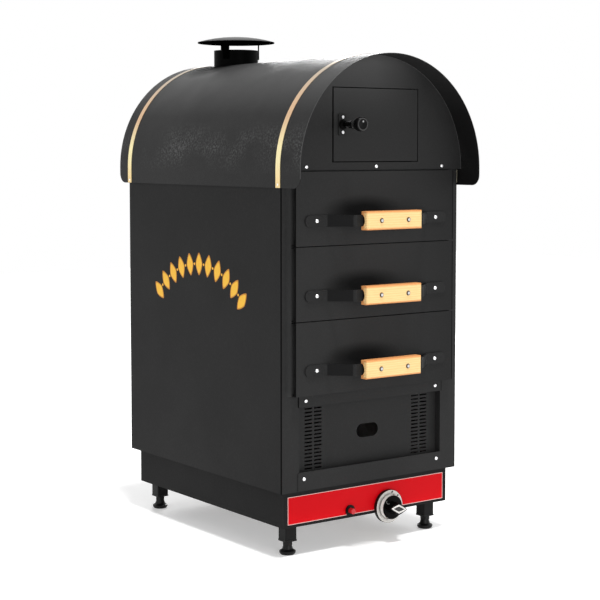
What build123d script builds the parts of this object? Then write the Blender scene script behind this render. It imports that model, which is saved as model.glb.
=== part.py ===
from build123d import *
import math
import os

os.makedirs("parts", exist_ok=True)

# Baked potato oven. Millimetres. +Z is up, the front faces -Y, the origin lies on the floor
# under the middle of the barrel roof's plan.

# ---------------------------------------------------------------- cabinet body
BODY_W = 500.0          # across the side panels
BODY_D = 645.0          # front frame face to back panel face
BODY_FOOT = 147.5       # underside of the cabinet above the floor
SPRING = 848.0          # height at which the roof starts to curve
CASE_T = 1.5            # casing sheet
SIDE_FLANGE = 20.0      # folded edges of the side panels, front, rear and top
FOOT_FLANGE = 40.0      # folded lower edge of the side panels
WALL = 34.0             # cabinet side to the oven's side liner
REAR_WALL = 45.0        # back panel to the oven's rear liner

# ---------------------------------------------------------------- barrel roof
ROOF_T = 1.5
ROOF_FRONT = 73.0       # front hood beyond the front frame
ROOF_REAR = 39.0        # rear hood beyond the back panel
ROOF_SKIRT = 38.0       # straight skirt below the springing
ROOF_CORNER = 24.0      # rounded lower corners of both hoods
CURVE_FIT = 0.1         # gap between curved sheets that follow each other
STRIP_W = 16.0          # brass trim strips
STRIP_T = 0.8
STRIP_LIFT = 0.5        # strip ends above the skirt's edge
STRIP_INSET = 1.0       # strip edge to the plane of the cabinet's front or back
STRIP_RIVET_UP = 7.0    # rivet above the strip's end
SEAL_T = 2.5            # sealing strip between side panel and skirt
SEAL_H = 30.0
SEAL_DROP = 3.0         # its top below the springing

# ---------------------------------------------------------------- flue
FLUE_REAR = 101.0       # flue axis ahead of the back panel
FLUE_R = 55.0
FLUE_T = 1.5
FLUE_RISE = 35.0        # collar rim above the ridge
FLUE_DIP = 17.0         # collar below the ridge, inside the roof
FLUE_FIT = 0.3          # roof hole round the collar
SADDLE_W = 8.0          # curved flange on the roof
SADDLE_T = 1.2
COWL_R = 95.5
COWL_RISE = 13.0        # crown of the shallow dome
COWL_T = 1.5
COWL_GAP = 21.0         # collar rim to the cowl's rim
COWL_LIP = 2.5          # turned-down rim
COWL_RINGS = 5          # flat rings that the dome is spun from
STRAP_W = 17.0
STRAP_T = 2.0
STRAP_GRIP = 22.0       # strap length on the collar
STRAP_FOOT = 16.0       # strap's turned-in foot under the cowl
STRAP_COUNT = 3
STRAP_TURN = 90.0       # plan angle of the first strap

# ---------------------------------------------------------------- front frame
POST_W = 38.0           # frame posts beside the drawer openings
RAIL_H = 14.0           # rails between the drawer openings
FRAME_LAP = 14.0        # frame above the springing, behind the arch plate
FRONT_HEAD = 3.5        # springing to the top drawer front
DRAWER_PITCH = 162.5
DRAWER_GAP = 2.0        # seam between drawer fronts
DRAWERS = 3
VENT_SIDE = 47.0        # vent opening from the cabinet's side
VENT_HEAD = 25.0        # vent opening below the lowest drawer front
VENT_SILL = 32.5        # vent opening above the cabinet's underside
VENT_DEEP = 18.5        # recess behind the frame's face
LOUVRE_L = 20.5
LOUVRE_H = 3.7
LOUVRE_PITCH = 8.3
LOUVRE_ROWS = 18
LOUVRE_HEAD = 9.5       # axis of the top row below the opening's head
LOUVRE_SIDE = 37.3      # outer column from the opening's side
LOUVRE_STEP = 26.0      # column to column
OVAL_W = 62.0           # lighting hole
OVAL_H = 31.0
OVAL_UP = 80.0          # its axis above the opening's foot
FLANGE_SIDE = 3.0       # vent panel's top flange beyond the opening
FLANGE_H = 22.5
COVER_SIDE = 4.0        # lower cover strip beyond the opening
COVER_LIFT = 1.5        # its foot above the cabinet's underside
COVER_LAP = 9.5         # its head above the opening's foot
COVER_R = 6.0

# ---------------------------------------------------------------- arched front plate and door
ARCH_DEEP = 12.0        # plate face ahead of the frame
ARCH_DROP = 1.0         # plate's foot below the springing
DOOR_W = 238.0
DOOR_H = 160.0
DOOR_UP = 18.0          # door's foot above the springing
DOOR_GAP = 2.0          # above and below the door
DOOR_LATCH_GAP = 4.0    # left of the door
DOOR_HINGE_GAP = 2.2    # right of the door
DOOR_DEEP = 8.0         # door's folded edges
PIVOT_IN = 5.0          # pivot axis from the door's right edge
PIVOT_BACK = 4.5        # pivot axis behind the door's face
PIVOT_R = 2.5
PIVOT_FIT = 0.05
PIVOT_TAIL = 4.0        # pin beyond the door's fold
PIVOT_TAB_T = 2.0
PIVOT_TAB_W = 20.0
PIVOT_TAB_GAP = 1.0     # door's fold to the pivot tab
PIVOT_LEG = 11.0        # tab's leg on the arch plate

# ---------------------------------------------------------------- latch
LATCH_IN = 23.0         # spindle from the door's left edge
LATCH_UP = 80.0         # spindle above the door's foot
LATCH_PLATE_W = 22.0
LATCH_PLATE_H = 48.0
LATCH_PLATE_T = 2.0
LATCH_BOSS_R = 9.0
LATCH_BOSS_H = 7.0
LATCH_RIVET_PITCH = 33.0
SPINDLE_R = 4.0
SPINDLE_FIT = 0.05
LATCH_REACH = 73.4      # door face to the handle's end
LATCH_GAP = 0.5         # boss to the handle
LATCH_NECK_R = 5.5
LATCH_WAIST_R = 10.0
LATCH_WAIST = 22.0      # waist behind the handle's rim
LATCH_END_R = 15.5
LATCH_END_H = 9.0       # straight rim of the handle's end
LATCH_DISH = 2.0
CAM_BACK = 4.0          # cam behind the door's face
CAM_T = 3.0
CAM_W = 12.0
CAM_L = 34.0
CAM_GAP = 2.0           # cut-out in the door's fold round the cam's sweep

# ---------------------------------------------------------------- drawers
FRONT_SIDE = 25.0       # drawer front from the cabinet's side
FRONT_DEEP = 16.0       # drawer face ahead of the frame
FRONT_R = 3.0
FRONT_FIT = 0.5         # folded edges to the frame
TRAY_SIDE = 12.0        # tray wall to the oven's liner
TRAY_REAR = 31.5        # tray to the rear liner
TRAY_HEAD = 30.5        # tray's rim below the opening's head
TRAY_T = 1.2
TRAY_RIM = 5.0
RUNNER_FIT = 0.3        # tray above its runners
RUNNER_T = 2.0
RUNNER_LEG = 20.0
RUNNER_LIP = 25.0
RUNNER_UP = 1.0         # runner above the opening's sill

HANDLE_UP = 54.0        # handle axis above the drawer front's foot
STRAP_IN = 25.0         # handle strap's end from the drawer front's side
STRAP_PAD = 55.0        # length of its foot
STRAP_SLANT = 50.0      # width of its slant
STRAP_RIVET = 31.0      # rivet from the strap's end
STRAP_OUT = 46.0        # flat's face ahead of the drawer face
BAR_T = 3.0
BAR_W = 25.0
BAR_BEND = 3.0
GRIP_W = 156.0
GRIP_H = 41.0
GRIP_D = 21.0
GRIP_R = 5.0
GRIP_GROOVE = 4.0       # groove that takes the strap
GRIP_HOLLOW = 7.5       # round hollow ahead of the strap
GROOVE_FIT = 0.2
GRIP_BOLT = 38.0        # bolts from the middle

# ---------------------------------------------------------------- fasteners
RIVET_R = 2.5
RIVET_HEAD_R = 4.2
RIVET_HEAD_H = 2.2
RIVET_TAIL = 2.0
HOLE_FIT = 0.1          # hole round a fastener
BOLT_R = 3.0
BOLT_HEAD_R = 4.8
BOLT_HEAD_H = 2.6
NUT_R = 5.0
NUT_H = 4.0
SCREW_R = 2.0
SCREW_HEAD_R = 4.0
SCREW_HEAD_H = 2.2
HEAD_WALL = 0.35        # straight wall, of a head's height
HEAD_BEVEL = 0.8        # corner between the bevels, of radius and height
HEAD_FLAT = 0.5         # flat top, of the head's radius
SCREW_L = 9.0
ARCH_SCREW_IN = 57.0    # outer arch plate screws from the cabinet's side
ARCH_SCREW_UP = 7.5     # screws above the arch plate's foot
BOSS_R = 5.5
VENT_SCREW_IN = 17.0    # vent panel screws from the opening's side
VENT_SCREW_UP = 12.0
COVER_SCREW_IN = 16.0   # cover strip screws from its side
COVER_SCREW_DOWN = 15.0

# ---------------------------------------------------------------- oven inside
LINER_T = 1.2
BAFFLE_DROP = 15.0      # baffle below the lowest drawer's sill
BAFFLE_T = 1.5
LEDGE_W = 12.0
LEDGE_T = 3.0
BAFFLE_FRONT = 22.0
SLOT_L = 60.0
SLOT_W = 12.0
SLOTS = 6
CEILING_SLOT = 31.0     # slot rows from the liner
BAFFLE_SLOT = 66.0
FLOOR_SLOT = 96.0

# ---------------------------------------------------------------- plinth and legs
PLINTH_SIDE = 15.5      # set in from the cabinet's sides
PLINTH_FRONT = 14.0
PLINTH_REAR = 19.0
PLINTH_FOOT = 66.5
PLINTH_FLANGE = 52.0
LEG_SIDE = 34.5         # leg axis from the plinth's side
LEG_END = 34.0          # leg axis from the plinth's front or rear
LEG_W = 30.0
LEG_T = 2.0
LEG_DROP = 33.5         # leg below the plinth
LEG_R = 3.0
CAP_RIM = 0.75          # cap's flange beyond the tube
CAP_H = 3.0
CAP_PLUG = 24.0
CAP_FIT = 0.1
STUD_R = 5.0
STUD_FIT = 0.05
STUD_L = 24.0           # stud inside the cap and the leg
FOOT_GAP = 0.3          # foot's hexagon to the cap
HEX_AF = 20.0
HEX_H = 9.0
NECK_R = 9.5
PAD_R = 18.3
PAD_BASE_R = 15.5
PAD_H = 9.0
PAD_RISE = 4.0
PAD_EDGE = 2.5
PAD_SHOULDER_R = 12.0
PAD_SHOULDER_H = 3.0

# ---------------------------------------------------------------- control fascia
FASCIA_SIDE = 10.5      # plate from the plinth's side
FASCIA_UP = 7.0         # plate above the plinth's foot
FASCIA_DOWN = 12.5      # plate below the plinth's top
FASCIA_T = 0.8
KNOB_X = 55.8
KNOB_UP = 12.2          # knob axis above the plinth's foot
BEZEL_R = 38.0
BEZEL_D = 10.0
BEZEL_IN_R = 29.0
BEZEL_SLOPE = 3.4
BEZEL_RIM = 1.0
BEZEL_BACK_T = 1.2
SKIRT_R = 27.0
SKIRT_BACK = 10.2       # skirt's back ahead of the plinth wall
SKIRT_T = 9.0
HUB_R = 14.0
HUB_L = 3.8
GRIP_LONG = 42.0
GRIP_TALL = 28.0
GRIP_OUT = 24.5
GRIP_ROOT_LONG = 46.0
GRIP_ROOT_TALL = 31.0
GRIP_TIP_R = 2.0
KNOB_PUSH = 4.0
NOSE_R = 10.0
NOSE_FIT = 0.5
TAP_R = 11.5
TAP_L = 66.0
TAP_BORE_L = 34.0
TAP_CAVITY_R = 7.5
TAP_CAVITY_L = 16.0
WASHER_R = 6.8
WASHER_T = 2.0
WASHER_BACK = 5.0       # washer behind the plinth wall's face
SPINDLE_IN = 12.0       # spindle inside the knob
OUTLET_BACK = 60.0      # tap outlet behind the plinth wall's face
OUTLET_R = 7.0
OUTLET_H = 6.0
IGNITER_X = -52.6
IGNITER_UP = 16.8       # button axis above the plinth's foot
RING_R = 12.5
RING_D = 3.0
BARREL_R = 9.0
BARREL_L = 46.0
BUTTON_R = 6.5
BUTTON_FIT = 0.1
BUTTON_OUT = 12.0
BUTTON_IN = 8.0
BUTTON_PUSH = 6.0
BUTTON_EDGE = 1.0
LOCKNUT_R = 12.0
LOCKNUT_H = 4.0

# ---------------------------------------------------------------- gas train
INLET_SIDE = 84.5       # inlet axis from the plinth's side
INLET_UP = 33.5         # inlet axis above the plinth's foot
INLET_R = 10.48
INLET_L = 20.0
INLET_HEX = 27.0
INLET_HEX_H = 8.0
INLET_BORE = 7.0
INLET_IN = 12.0
PIPE_R = 6.0
PIPE_BEND = 40.0
PIPE_STRAIGHT = 60.0
PIPE_CROSS = 170.0
FEED_R = 5.0
FEED_BEND = 14.0
FEED_FIT = 2.0          # floor hole round the feed pipe
BURNER_R = 16.0
BURNER_UP = 64.5        # burner axis above the cabinet's floor
BURNER_FRONT = 62.0
BURNER_REAR = 40.0      # burner's end ahead of the rear liner
PORTS = 20
PORT_L = 12.0
PORT_W = 3.0
PORT_DEEP = 2.0
FOOT_W = 44.0
FOOT_T = 4.0
SPARK_BACK = 48.0       # electrode behind the burner's front end
SPARK_SIDE = 10.0       # electrode axis beside the burner
SPARK_R = 4.0
SPARK_L = 44.0
SPARK_WIRE_R = 1.2
SPARK_WIRE_L = 10.0
SPARK_CLIP_T = 2.0
SPARK_CLIP_LAP = 1.0

# ---------------------------------------------------------------- places worked out
FRONT = ROOF_FRONT - (ROOF_FRONT + BODY_D + ROOF_REAR) / 2
BACK = FRONT + BODY_D
HALF = BODY_W / 2
INSIDE = HALF - CASE_T
ROOF_IN = HALF + SEAL_T
ROOF_R = ROOF_IN + ROOF_T
RIDGE = SPRING + ROOF_R
SKIRT_Z = SPRING - ROOF_SKIRT
FLOOR_Z = BODY_FOOT + CASE_T
FLOOR_TOP = FLOOR_Z + CASE_T
FLUE_Y = BACK - FLUE_REAR
COLLAR_TOP = RIDGE + FLUE_RISE
COWL_RIM = COLLAR_TOP + COWL_GAP
ARCH_FACE = FRONT - ARCH_DEEP
ARCH_R = ROOF_IN - CURVE_FIT
ARCH_FOOT = SPRING - ARCH_DROP
FRAME_TOP = SPRING + FRAME_LAP
DOOR_LEFT = -DOOR_W / 2
DOOR_RIGHT = DOOR_W / 2
DOOR_FOOT = SPRING + DOOR_UP
DOOR_HEAD = DOOR_FOOT + DOOR_H
PIVOT_X = DOOR_RIGHT - PIVOT_IN
PIVOT_Y = ARCH_FACE + PIVOT_BACK
LATCH_X = DOOR_LEFT + LATCH_IN
LATCH_Z = DOOR_FOOT + LATCH_UP
LATCH_ROOT = LATCH_PLATE_T + LATCH_BOSS_H + LATCH_GAP
FRONT_H = DRAWER_PITCH - DRAWER_GAP
FRONT_W = BODY_W - 2 * FRONT_SIDE
FRONT_FACE = FRONT - FRONT_DEEP
LINER_HALF = HALF - WALL
LINER_D = BODY_D - REAR_WALL
OPENING_H = DRAWER_PITCH - RAIL_H
OPENING_HALF = HALF - POST_W
TRAY_W = 2 * (LINER_HALF - TRAY_SIDE)
TRAY_D = LINER_D + FRONT_DEEP - CASE_T - TRAY_REAR
TRAY_H = OPENING_H - TRAY_HEAD
STRAP_HALF = FRONT_W / 2 - STRAP_IN
STRAP_KNEE = STRAP_HALF - STRAP_PAD
STRAP_SHOULDER = STRAP_KNEE - STRAP_SLANT
HANDLE_RIVET = STRAP_HALF - STRAP_RIVET
VENT_HALF = HALF - VENT_SIDE
VENT_TOP = SPRING - FRONT_HEAD - DRAWERS * DRAWER_PITCH + DRAWER_GAP - VENT_HEAD
VENT_FOOT = BODY_FOOT + VENT_SILL
ARCH_SCREW = HALF - ARCH_SCREW_IN
VENT_SCREW = VENT_HALF - VENT_SCREW_IN
VENT_SCREW_Z = VENT_TOP + VENT_SCREW_UP
COVER_HALF = VENT_HALF + COVER_SIDE
COVER_TOP = VENT_FOOT + COVER_LAP
COVER_SCREW = COVER_HALF - COVER_SCREW_IN
COVER_SCREW_Z = COVER_TOP - COVER_SCREW_DOWN
PLINTH_HALF = HALF - PLINTH_SIDE
PLINTH_Y0 = FRONT + PLINTH_FRONT
PLINTH_Y1 = BACK - PLINTH_REAR
LEG_FOOT = PLINTH_FOOT - LEG_DROP
FASCIA_FACE = PLINTH_Y0 - FASCIA_T
KNOB_Z = PLINTH_FOOT + KNOB_UP
IGNITER_Z = PLINTH_FOOT + IGNITER_UP
INLET_X = PLINTH_HALF - INLET_SIDE
INLET_Z = PLINTH_FOOT + INLET_UP
OUTLET_Y = PLINTH_Y0 + OUTLET_BACK
BURNER_Z = FLOOR_TOP + BURNER_UP
BURNER_L = LINER_D - BURNER_FRONT - BURNER_REAR
SPARK_X = BURNER_R + SPARK_SIDE
SPARK_Y = FRONT + BURNER_FRONT + SPARK_BACK


# ---------------------------------------------------------------- shapes
def block(x0, x1, y0, y1, z0, z1):
    """A box between two corners."""
    box = Box(x1 - x0, y1 - y0, z1 - z0)
    return Pos((x0 + x1) / 2, (y0 + y1) / 2, (z0 + z1) / 2) * box


def along_x(face, x0, x1):
    """A (Y, Z) profile carried from x0 to x1."""
    return Pos(x0, 0, 0) * extrude(Plane.YZ * face, x1 - x0)


def along_y(face, y0, y1):
    """An (X, Z) profile carried from y0 to y1."""
    return Pos(0, y1, 0) * extrude(Plane.XZ * face, y1 - y0)


def along_z(face, z0, z1):
    """An (X, Y) profile carried from z0 to z1."""
    return Pos(0, 0, z0) * extrude(face, z1 - z0)


def rod(radius, x, y, z, length, way):
    """A round bar that starts at a point and runs along +X, +Y or +Z."""
    turn = {"x": Rot(0, 90, 0), "y": Rot(-90, 0, 0), "z": Rot(0, 0, 0)}[way]
    return Pos(x, y, z) * turn * Pos(0, 0, length / 2) * Cylinder(radius, length)


def turned(outline, x, y, z, forward=True):
    """A (radius, height) outline turned round its axis, which points to -Y or up."""
    solid = revolve(Plane.XZ * make_face(outline), Axis.Z)
    return Pos(x, y, z) * (Rot(90, 0, 0) * solid if forward else solid)


def folded(points, thick):
    """A strip folded along its outer face's points, with its metal on the right."""
    line = Polyline(*points)
    return make_face(
        offset(line, amount=thick, side=Side.RIGHT, kind=Kind.INTERSECTION, closed=True)
    )


def rect(u0, u1, v0, v1):
    """A rectangle between two corners of the profile plane."""
    return Pos((u0 + u1) / 2, (v0 + v1) / 2) * Rectangle(u1 - u0, v1 - v0)


def mirrored(solid):
    """The same piece for the other side of the cabinet."""
    return mirror(solid, Plane.YZ)


def save(node, *pieces):
    """Writes one node, with each separate piece as a solid."""
    solids = [solid for piece in pieces for solid in piece.solids()]
    shape = solids[0] if len(solids) == 1 else Compound(children=solids)
    shape.label = node
    export_step(shape, os.path.join("parts", node + ".step"))


def pan_head(radius, height):
    """The outline of a low head with two bevels, flat at height 0."""
    return Polyline(
        (0, 0),
        (radius, 0),
        (radius, height * HEAD_WALL),
        (radius * HEAD_BEVEL, height * HEAD_BEVEL),
        (radius * HEAD_FLAT, height),
        (0, height),
        close=True,
    )


def fastener(x, y, z, head_r, head_h, shank_r, shank_l):
    """A domed head on a face that looks to -Y, with its shank behind the face."""
    head = turned(pan_head(head_r, head_h), x, y, z)
    return head + rod(shank_r, x, y, z, shank_l, "y")


def tombstone(radius, foot):
    """A half round of the roof's axis above a straight-sided foot."""
    lower = rect(-radius, radius, foot, SPRING)
    return Pos(0, SPRING) * Circle(radius) + lower


# ---------------------------------------------------------------- roof
def barrel_roof():
    """One rolled sheet: half round, straight skirts, rounded corners, a hole for the flue."""
    outer = tombstone(ROOF_R, SKIRT_Z) - rect(-ROOF_R, ROOF_R, 0, SKIRT_Z)
    inner = tombstone(ROOF_IN, 0)
    sheet = along_y(outer - inner, FRONT - ROOF_FRONT, BACK + ROOF_REAR)
    reach = (ROOF_FRONT + BODY_D + ROOF_REAR) / 2
    side = Pos(0, SKIRT_Z + RIDGE) * Rectangle(2 * reach, 2 * RIDGE)
    corners = [v for v in side.vertices() if v.Y < RIDGE]
    side = fillet(corners, ROOF_CORNER)
    sheet = sheet & along_x(side, -RIDGE, RIDGE)
    return sheet - rod(FLUE_R + FLUE_FIT, 0, FLUE_Y, SPRING, 2 * ROOF_R, "z")


def trim_strip(y0):
    """A thin brass band bent over the roof."""
    end = SKIRT_Z + STRIP_LIFT
    inner_r = ROOF_R + CURVE_FIT
    outer = tombstone(inner_r + STRIP_T, end) - rect(-RIDGE, RIDGE, 0, end)
    return along_y(outer - tombstone(inner_r, 0), y0, y0 + STRIP_W)


def flue_collar():
    """A tube through the ridge with a flange that follows the roof."""
    foot = RIDGE - FLUE_DIP
    tube = rod(FLUE_R, 0, FLUE_Y, foot, COLLAR_TOP - foot, "z")
    disc = rod(FLUE_R + SADDLE_W, 0, FLUE_Y, SPRING, 2 * ROOF_R, "z")
    inner_r = ROOF_R + CURVE_FIT
    ring = Pos(0, SPRING) * (Circle(inner_r + SADDLE_T) - Circle(inner_r))
    shell = along_y(ring, FLUE_Y - 2 * FLUE_R, FLUE_Y + 2 * FLUE_R)
    collar = tube + (disc & shell)
    return collar - rod(FLUE_R - FLUE_T, 0, FLUE_Y, 0, 2 * RIDGE, "z")


def under_dome(depth, radius):
    """Everything under the cowl's dome, lowered by a depth and cut to a radius."""
    rim = COWL_RIM - depth
    steps = [radius * step / COWL_RINGS for step in range(COWL_RINGS + 1)]
    rise = [rim + COWL_RISE * (1 - (r / COWL_R) ** 2) for r in steps]
    foot = COWL_RIM - COWL_LIP
    outline = Polyline((radius, foot), (0, foot), *zip(steps, rise), close=True)
    return turned(outline, 0, FLUE_Y, 0, forward=False)


def flue_cowl():
    """A shallow spun dome with a turned-down rim."""
    return under_dome(0, COWL_R) - under_dome(COWL_T, COWL_R - COWL_T)


def cowl_strap(turn):
    """A flat strap up the collar, with a foot that follows the dome's underside."""
    far = FLUE_R + STRAP_T
    half = STRAP_W / 2
    top = COWL_RIM + COWL_RISE
    depth = COWL_T + CURVE_FIT
    inside = COWL_R - COWL_T
    place = Pos(0, FLUE_Y, 0) * Rot(0, 0, turn)
    leg = place * block(FLUE_R, far, -half, half, COLLAR_TOP - STRAP_GRIP, COWL_RIM)
    foot = place * block(FLUE_R - STRAP_FOOT, far, -half, half, COWL_RIM - COWL_LIP, top)
    head = place * block(FLUE_R, far, -half, half, COWL_RIM - COWL_LIP, top)
    head = head & under_dome(depth, inside)
    foot = foot & (under_dome(depth, inside) - under_dome(depth + STRAP_T, inside))
    return leg + head + foot


# ---------------------------------------------------------------- casing
def side_panel():
    """The right side: a sheet with folded front, rear, top and foot edges."""
    y0 = FRONT + CASE_T
    y1 = BACK - CASE_T
    lip = HALF - SIDE_FLANGE
    plan = folded([(lip, y1), (HALF, y1), (HALF, y0), (lip, y0)], CASE_T)
    sheet = along_z(plan, BODY_FOOT, SPRING)
    foot = block(HALF - FOOT_FLANGE, HALF, y0, y1, BODY_FOOT, FLOOR_Z)
    top = block(lip, HALF, y0, y1, SPRING - CASE_T, SPRING)
    return sheet + foot + top


def back_panel():
    """A flat sheet with a round head that closes the back."""
    shape = tombstone(ARCH_R, SPRING) + rect(-HALF, HALF, BODY_FOOT, SPRING)
    return along_y(shape, BACK - CASE_T, BACK)


def drawer_foot(index):
    """Height of the lower edge of a drawer's front."""
    return SPRING - FRONT_HEAD - index * DRAWER_PITCH - FRONT_H


def sill(index):
    """Lower edge of a drawer's opening in the front frame."""
    return drawer_foot(index) - DRAWER_GAP / 2 + RAIL_H / 2


def front_frame():
    """A plate with drawer and vent openings, recess returns and screw bosses."""
    plate = rect(-HALF, HALF, BODY_FOOT, FRAME_TOP)
    for index in range(DRAWERS):
        foot = sill(index)
        plate = plate - rect(-OPENING_HALF, OPENING_HALF, foot, foot + OPENING_H)
    plate = plate - rect(-VENT_HALF, VENT_HALF, VENT_FOOT, VENT_TOP)
    for x in screw_row(ARCH_SCREW):
        plate = plate - Pos(x, ARCH_FOOT + ARCH_SCREW_UP) * Circle(SCREW_R + HOLE_FIT)
    for x in (-VENT_SCREW, VENT_SCREW):
        plate = plate - Pos(x, VENT_SCREW_Z) * Circle(SCREW_R + HOLE_FIT)
    for x in (-COVER_SCREW, COVER_SCREW):
        plate = plate - Pos(x, COVER_SCREW_Z) * Circle(SCREW_R + HOLE_FIT)
    frame = along_y(plate, FRONT, FRONT + CASE_T)
    half = VENT_HALF + CASE_T
    foot = VENT_FOOT - CASE_T
    returns = folded([(half, VENT_TOP), (half, foot), (-half, foot), (-half, VENT_TOP)], CASE_T)
    frame = frame + along_y(returns, FRONT, FRONT + VENT_DEEP)
    for x in screw_row(ARCH_SCREW):
        z = ARCH_FOOT + ARCH_SCREW_UP
        boss = rod(BOSS_R, x, ARCH_FACE + CASE_T, z, ARCH_DEEP - CASE_T, "y")
        frame = frame + boss - rod(SCREW_R + HOLE_FIT, x, ARCH_FACE, z, 2 * ARCH_DEEP, "y")
    return frame


def screw_row(half):
    """Three places along X: left, middle and right."""
    return (-half, 0, half)


def slots(x, z0, z1):
    """A row of vent slots from front to back through a level sheet."""
    pitch = LINER_D / (SLOTS + 1)
    cuts = []
    for step in range(SLOTS):
        y = FRONT + (step + 1) * pitch
        cuts.append(along_z(Pos(x, y) * Rectangle(SLOT_W, SLOT_L), z0, z1))
    return cuts


def cabinet_floor():
    """The floor sheet on the side panels' foot folds, with air slots and a pipe hole."""
    floor = block(-INSIDE, INSIDE, FRONT + 2 * CASE_T, BACK - 2 * CASE_T, FLOOR_Z, FLOOR_TOP)
    row = LINER_HALF - FLOOR_SLOT
    floor = floor - slots(-row, FLOOR_Z, FLOOR_TOP) - slots(row, FLOOR_Z, FLOOR_TOP)
    return floor - rod(FEED_R + FEED_FIT, KNOB_X, OUTLET_Y, FLOOR_Z, CASE_T, "z")


def oven_ceiling():
    """The sheet between the oven and the upper compartment, with gas slots at its sides."""
    sheet = block(-INSIDE, INSIDE, FRONT + CASE_T, BACK - CASE_T, SPRING, SPRING + CASE_T)
    row = LINER_HALF - CEILING_SLOT
    return sheet - slots(-row, SPRING, SPRING + CASE_T) - slots(row, SPRING, SPRING + CASE_T)


def arch_plate():
    """A round-headed pan with the door's opening, folded back to the frame."""
    face = tombstone(ARCH_R, 0) - rect(-2 * ARCH_R, 2 * ARCH_R, -SPRING, ARCH_FOOT)
    inner_r = ARCH_R - CASE_T
    inner = tombstone(inner_r, 0) - rect(-2 * ARCH_R, 2 * ARCH_R, -SPRING, ARCH_FOOT + CASE_T)
    pan = along_y(face, ARCH_FACE, FRONT) - along_y(inner, ARCH_FACE + CASE_T, FRONT)
    opening = rect(
        DOOR_LEFT - DOOR_LATCH_GAP,
        DOOR_RIGHT + DOOR_HINGE_GAP,
        DOOR_FOOT - DOOR_GAP,
        DOOR_HEAD + DOOR_GAP,
    )
    pan = pan - along_y(opening, ARCH_FACE, ARCH_FACE + CASE_T)
    for x in screw_row(ARCH_SCREW):
        z = ARCH_FOOT + ARCH_SCREW_UP
        pan = pan - rod(SCREW_R + HOLE_FIT, x, ARCH_FACE, z, CASE_T, "y")
    return pan


def vent_panel():
    """A stepped sheet: screwed flange, web into the recess, louvred face, lighting hole."""
    back = FRONT + VENT_DEEP
    half = VENT_HALF - HOLE_FIT
    foot = VENT_FOOT + HOLE_FIT
    face = rect(-half, half, foot, VENT_TOP)
    outer = VENT_HALF - LOUVRE_SIDE
    slot = Rectangle(LOUVRE_L, LOUVRE_H)
    for x in (-outer, LOUVRE_STEP - outer, outer - LOUVRE_STEP, outer):
        for row in range(LOUVRE_ROWS):
            face = face - Pos(x, VENT_TOP - LOUVRE_HEAD - row * LOUVRE_PITCH) * slot
    face = face - Pos(0, VENT_FOOT + OVAL_UP) * SlotOverall(OVAL_W, OVAL_H)
    panel = along_y(face, back - CASE_T, back)
    panel = panel + block(-half, half, FRONT - CASE_T, back, VENT_TOP - CASE_T, VENT_TOP)
    wide = VENT_HALF + FLANGE_SIDE
    flange = rect(-wide, wide, VENT_TOP - CASE_T, VENT_TOP + FLANGE_H)
    for x in (-VENT_SCREW, VENT_SCREW):
        flange = flange - Pos(x, VENT_SCREW_Z) * Circle(SCREW_R + HOLE_FIT)
    return panel + along_y(flange, FRONT - CASE_T, FRONT)


def cover_strip():
    """The lower strip over the frame's foot rail, with rounded upper corners."""
    shape = rect(-COVER_HALF, COVER_HALF, BODY_FOOT + COVER_LIFT, COVER_TOP)
    shape = fillet(shape.vertices().group_by(Axis.Y)[-1], COVER_R)
    for x in (-COVER_SCREW, COVER_SCREW):
        shape = shape - Pos(x, COVER_SCREW_Z) * Circle(SCREW_R + HOLE_FIT)
    return along_y(shape, FRONT - CASE_T, FRONT)


def casing_screws():
    """Pan-head screws of the front, and the rivets at the trim strips' ends."""
    head = (SCREW_HEAD_R, SCREW_HEAD_H, SCREW_R)
    screws = []
    for x in screw_row(ARCH_SCREW):
        screws.append(fastener(x, ARCH_FACE, ARCH_FOOT + ARCH_SCREW_UP, *head, SCREW_L))
    for x in (-VENT_SCREW, VENT_SCREW):
        screws.append(fastener(x, FRONT - CASE_T, VENT_SCREW_Z, *head, SCREW_L))
    for x in (-COVER_SCREW, COVER_SCREW):
        screws.append(fastener(x, FRONT - CASE_T, COVER_SCREW_Z, *head, SCREW_L))
    z = SKIRT_Z + STRIP_LIFT + STRIP_RIVET_UP
    for y in (FRONT - STRIP_INSET, BACK - STRIP_W - STRIP_INSET):
        for side in (-1, 1):
            dot = turned(pan_head(RIVET_R, SCREW_HEAD_H / 2), 0, 0, 0)
            x = side * (ROOF_R + CURVE_FIT + STRIP_T)
            screws.append(Pos(x, y + STRIP_W / 2, z) * Rot(0, 0, side * 90) * dot)
    return screws


# ---------------------------------------------------------------- oven inside
def side_liner():
    """The right oven wall: front fold against the frame and a ledge for the baffle."""
    x0 = LINER_HALF
    x1 = LINER_HALF + LINER_T
    lip = HALF - SIDE_FLANGE - HOLE_FIT
    y0 = FRONT + CASE_T
    plan = rect(x0, x1, y0, FRONT + LINER_D) + rect(x0, lip, y0, y0 + LINER_T)
    wall = along_z(plan, FLOOR_TOP, SPRING)
    z = baffle_z()
    ledge = block(x0 - LEDGE_W, x0, FRONT + BAFFLE_FRONT, FRONT + LINER_D, z - LEDGE_T, z)
    return wall + ledge


def baffle_z():
    """Underside of the heat baffle."""
    return sill(DRAWERS - 1) - BAFFLE_DROP


def rear_liner():
    """The oven's rear wall across the ends of the side liners."""
    half = LINER_HALF + LINER_T
    y0 = FRONT + LINER_D
    return block(-half, half, y0, y0 + LINER_T, FLOOR_TOP, SPRING)


def heat_baffle():
    """The slotted sheet above the burner, on the side liners' ledges."""
    y0 = FRONT + BAFFLE_FRONT
    z0 = baffle_z()
    z1 = z0 + BAFFLE_T
    row = LINER_HALF - BAFFLE_SLOT
    sheet = block(-LINER_HALF, LINER_HALF, y0, FRONT + LINER_D, z0, z1)
    return sheet - slots(-row, z0, z1) - slots(row, z0, z1)


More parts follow.
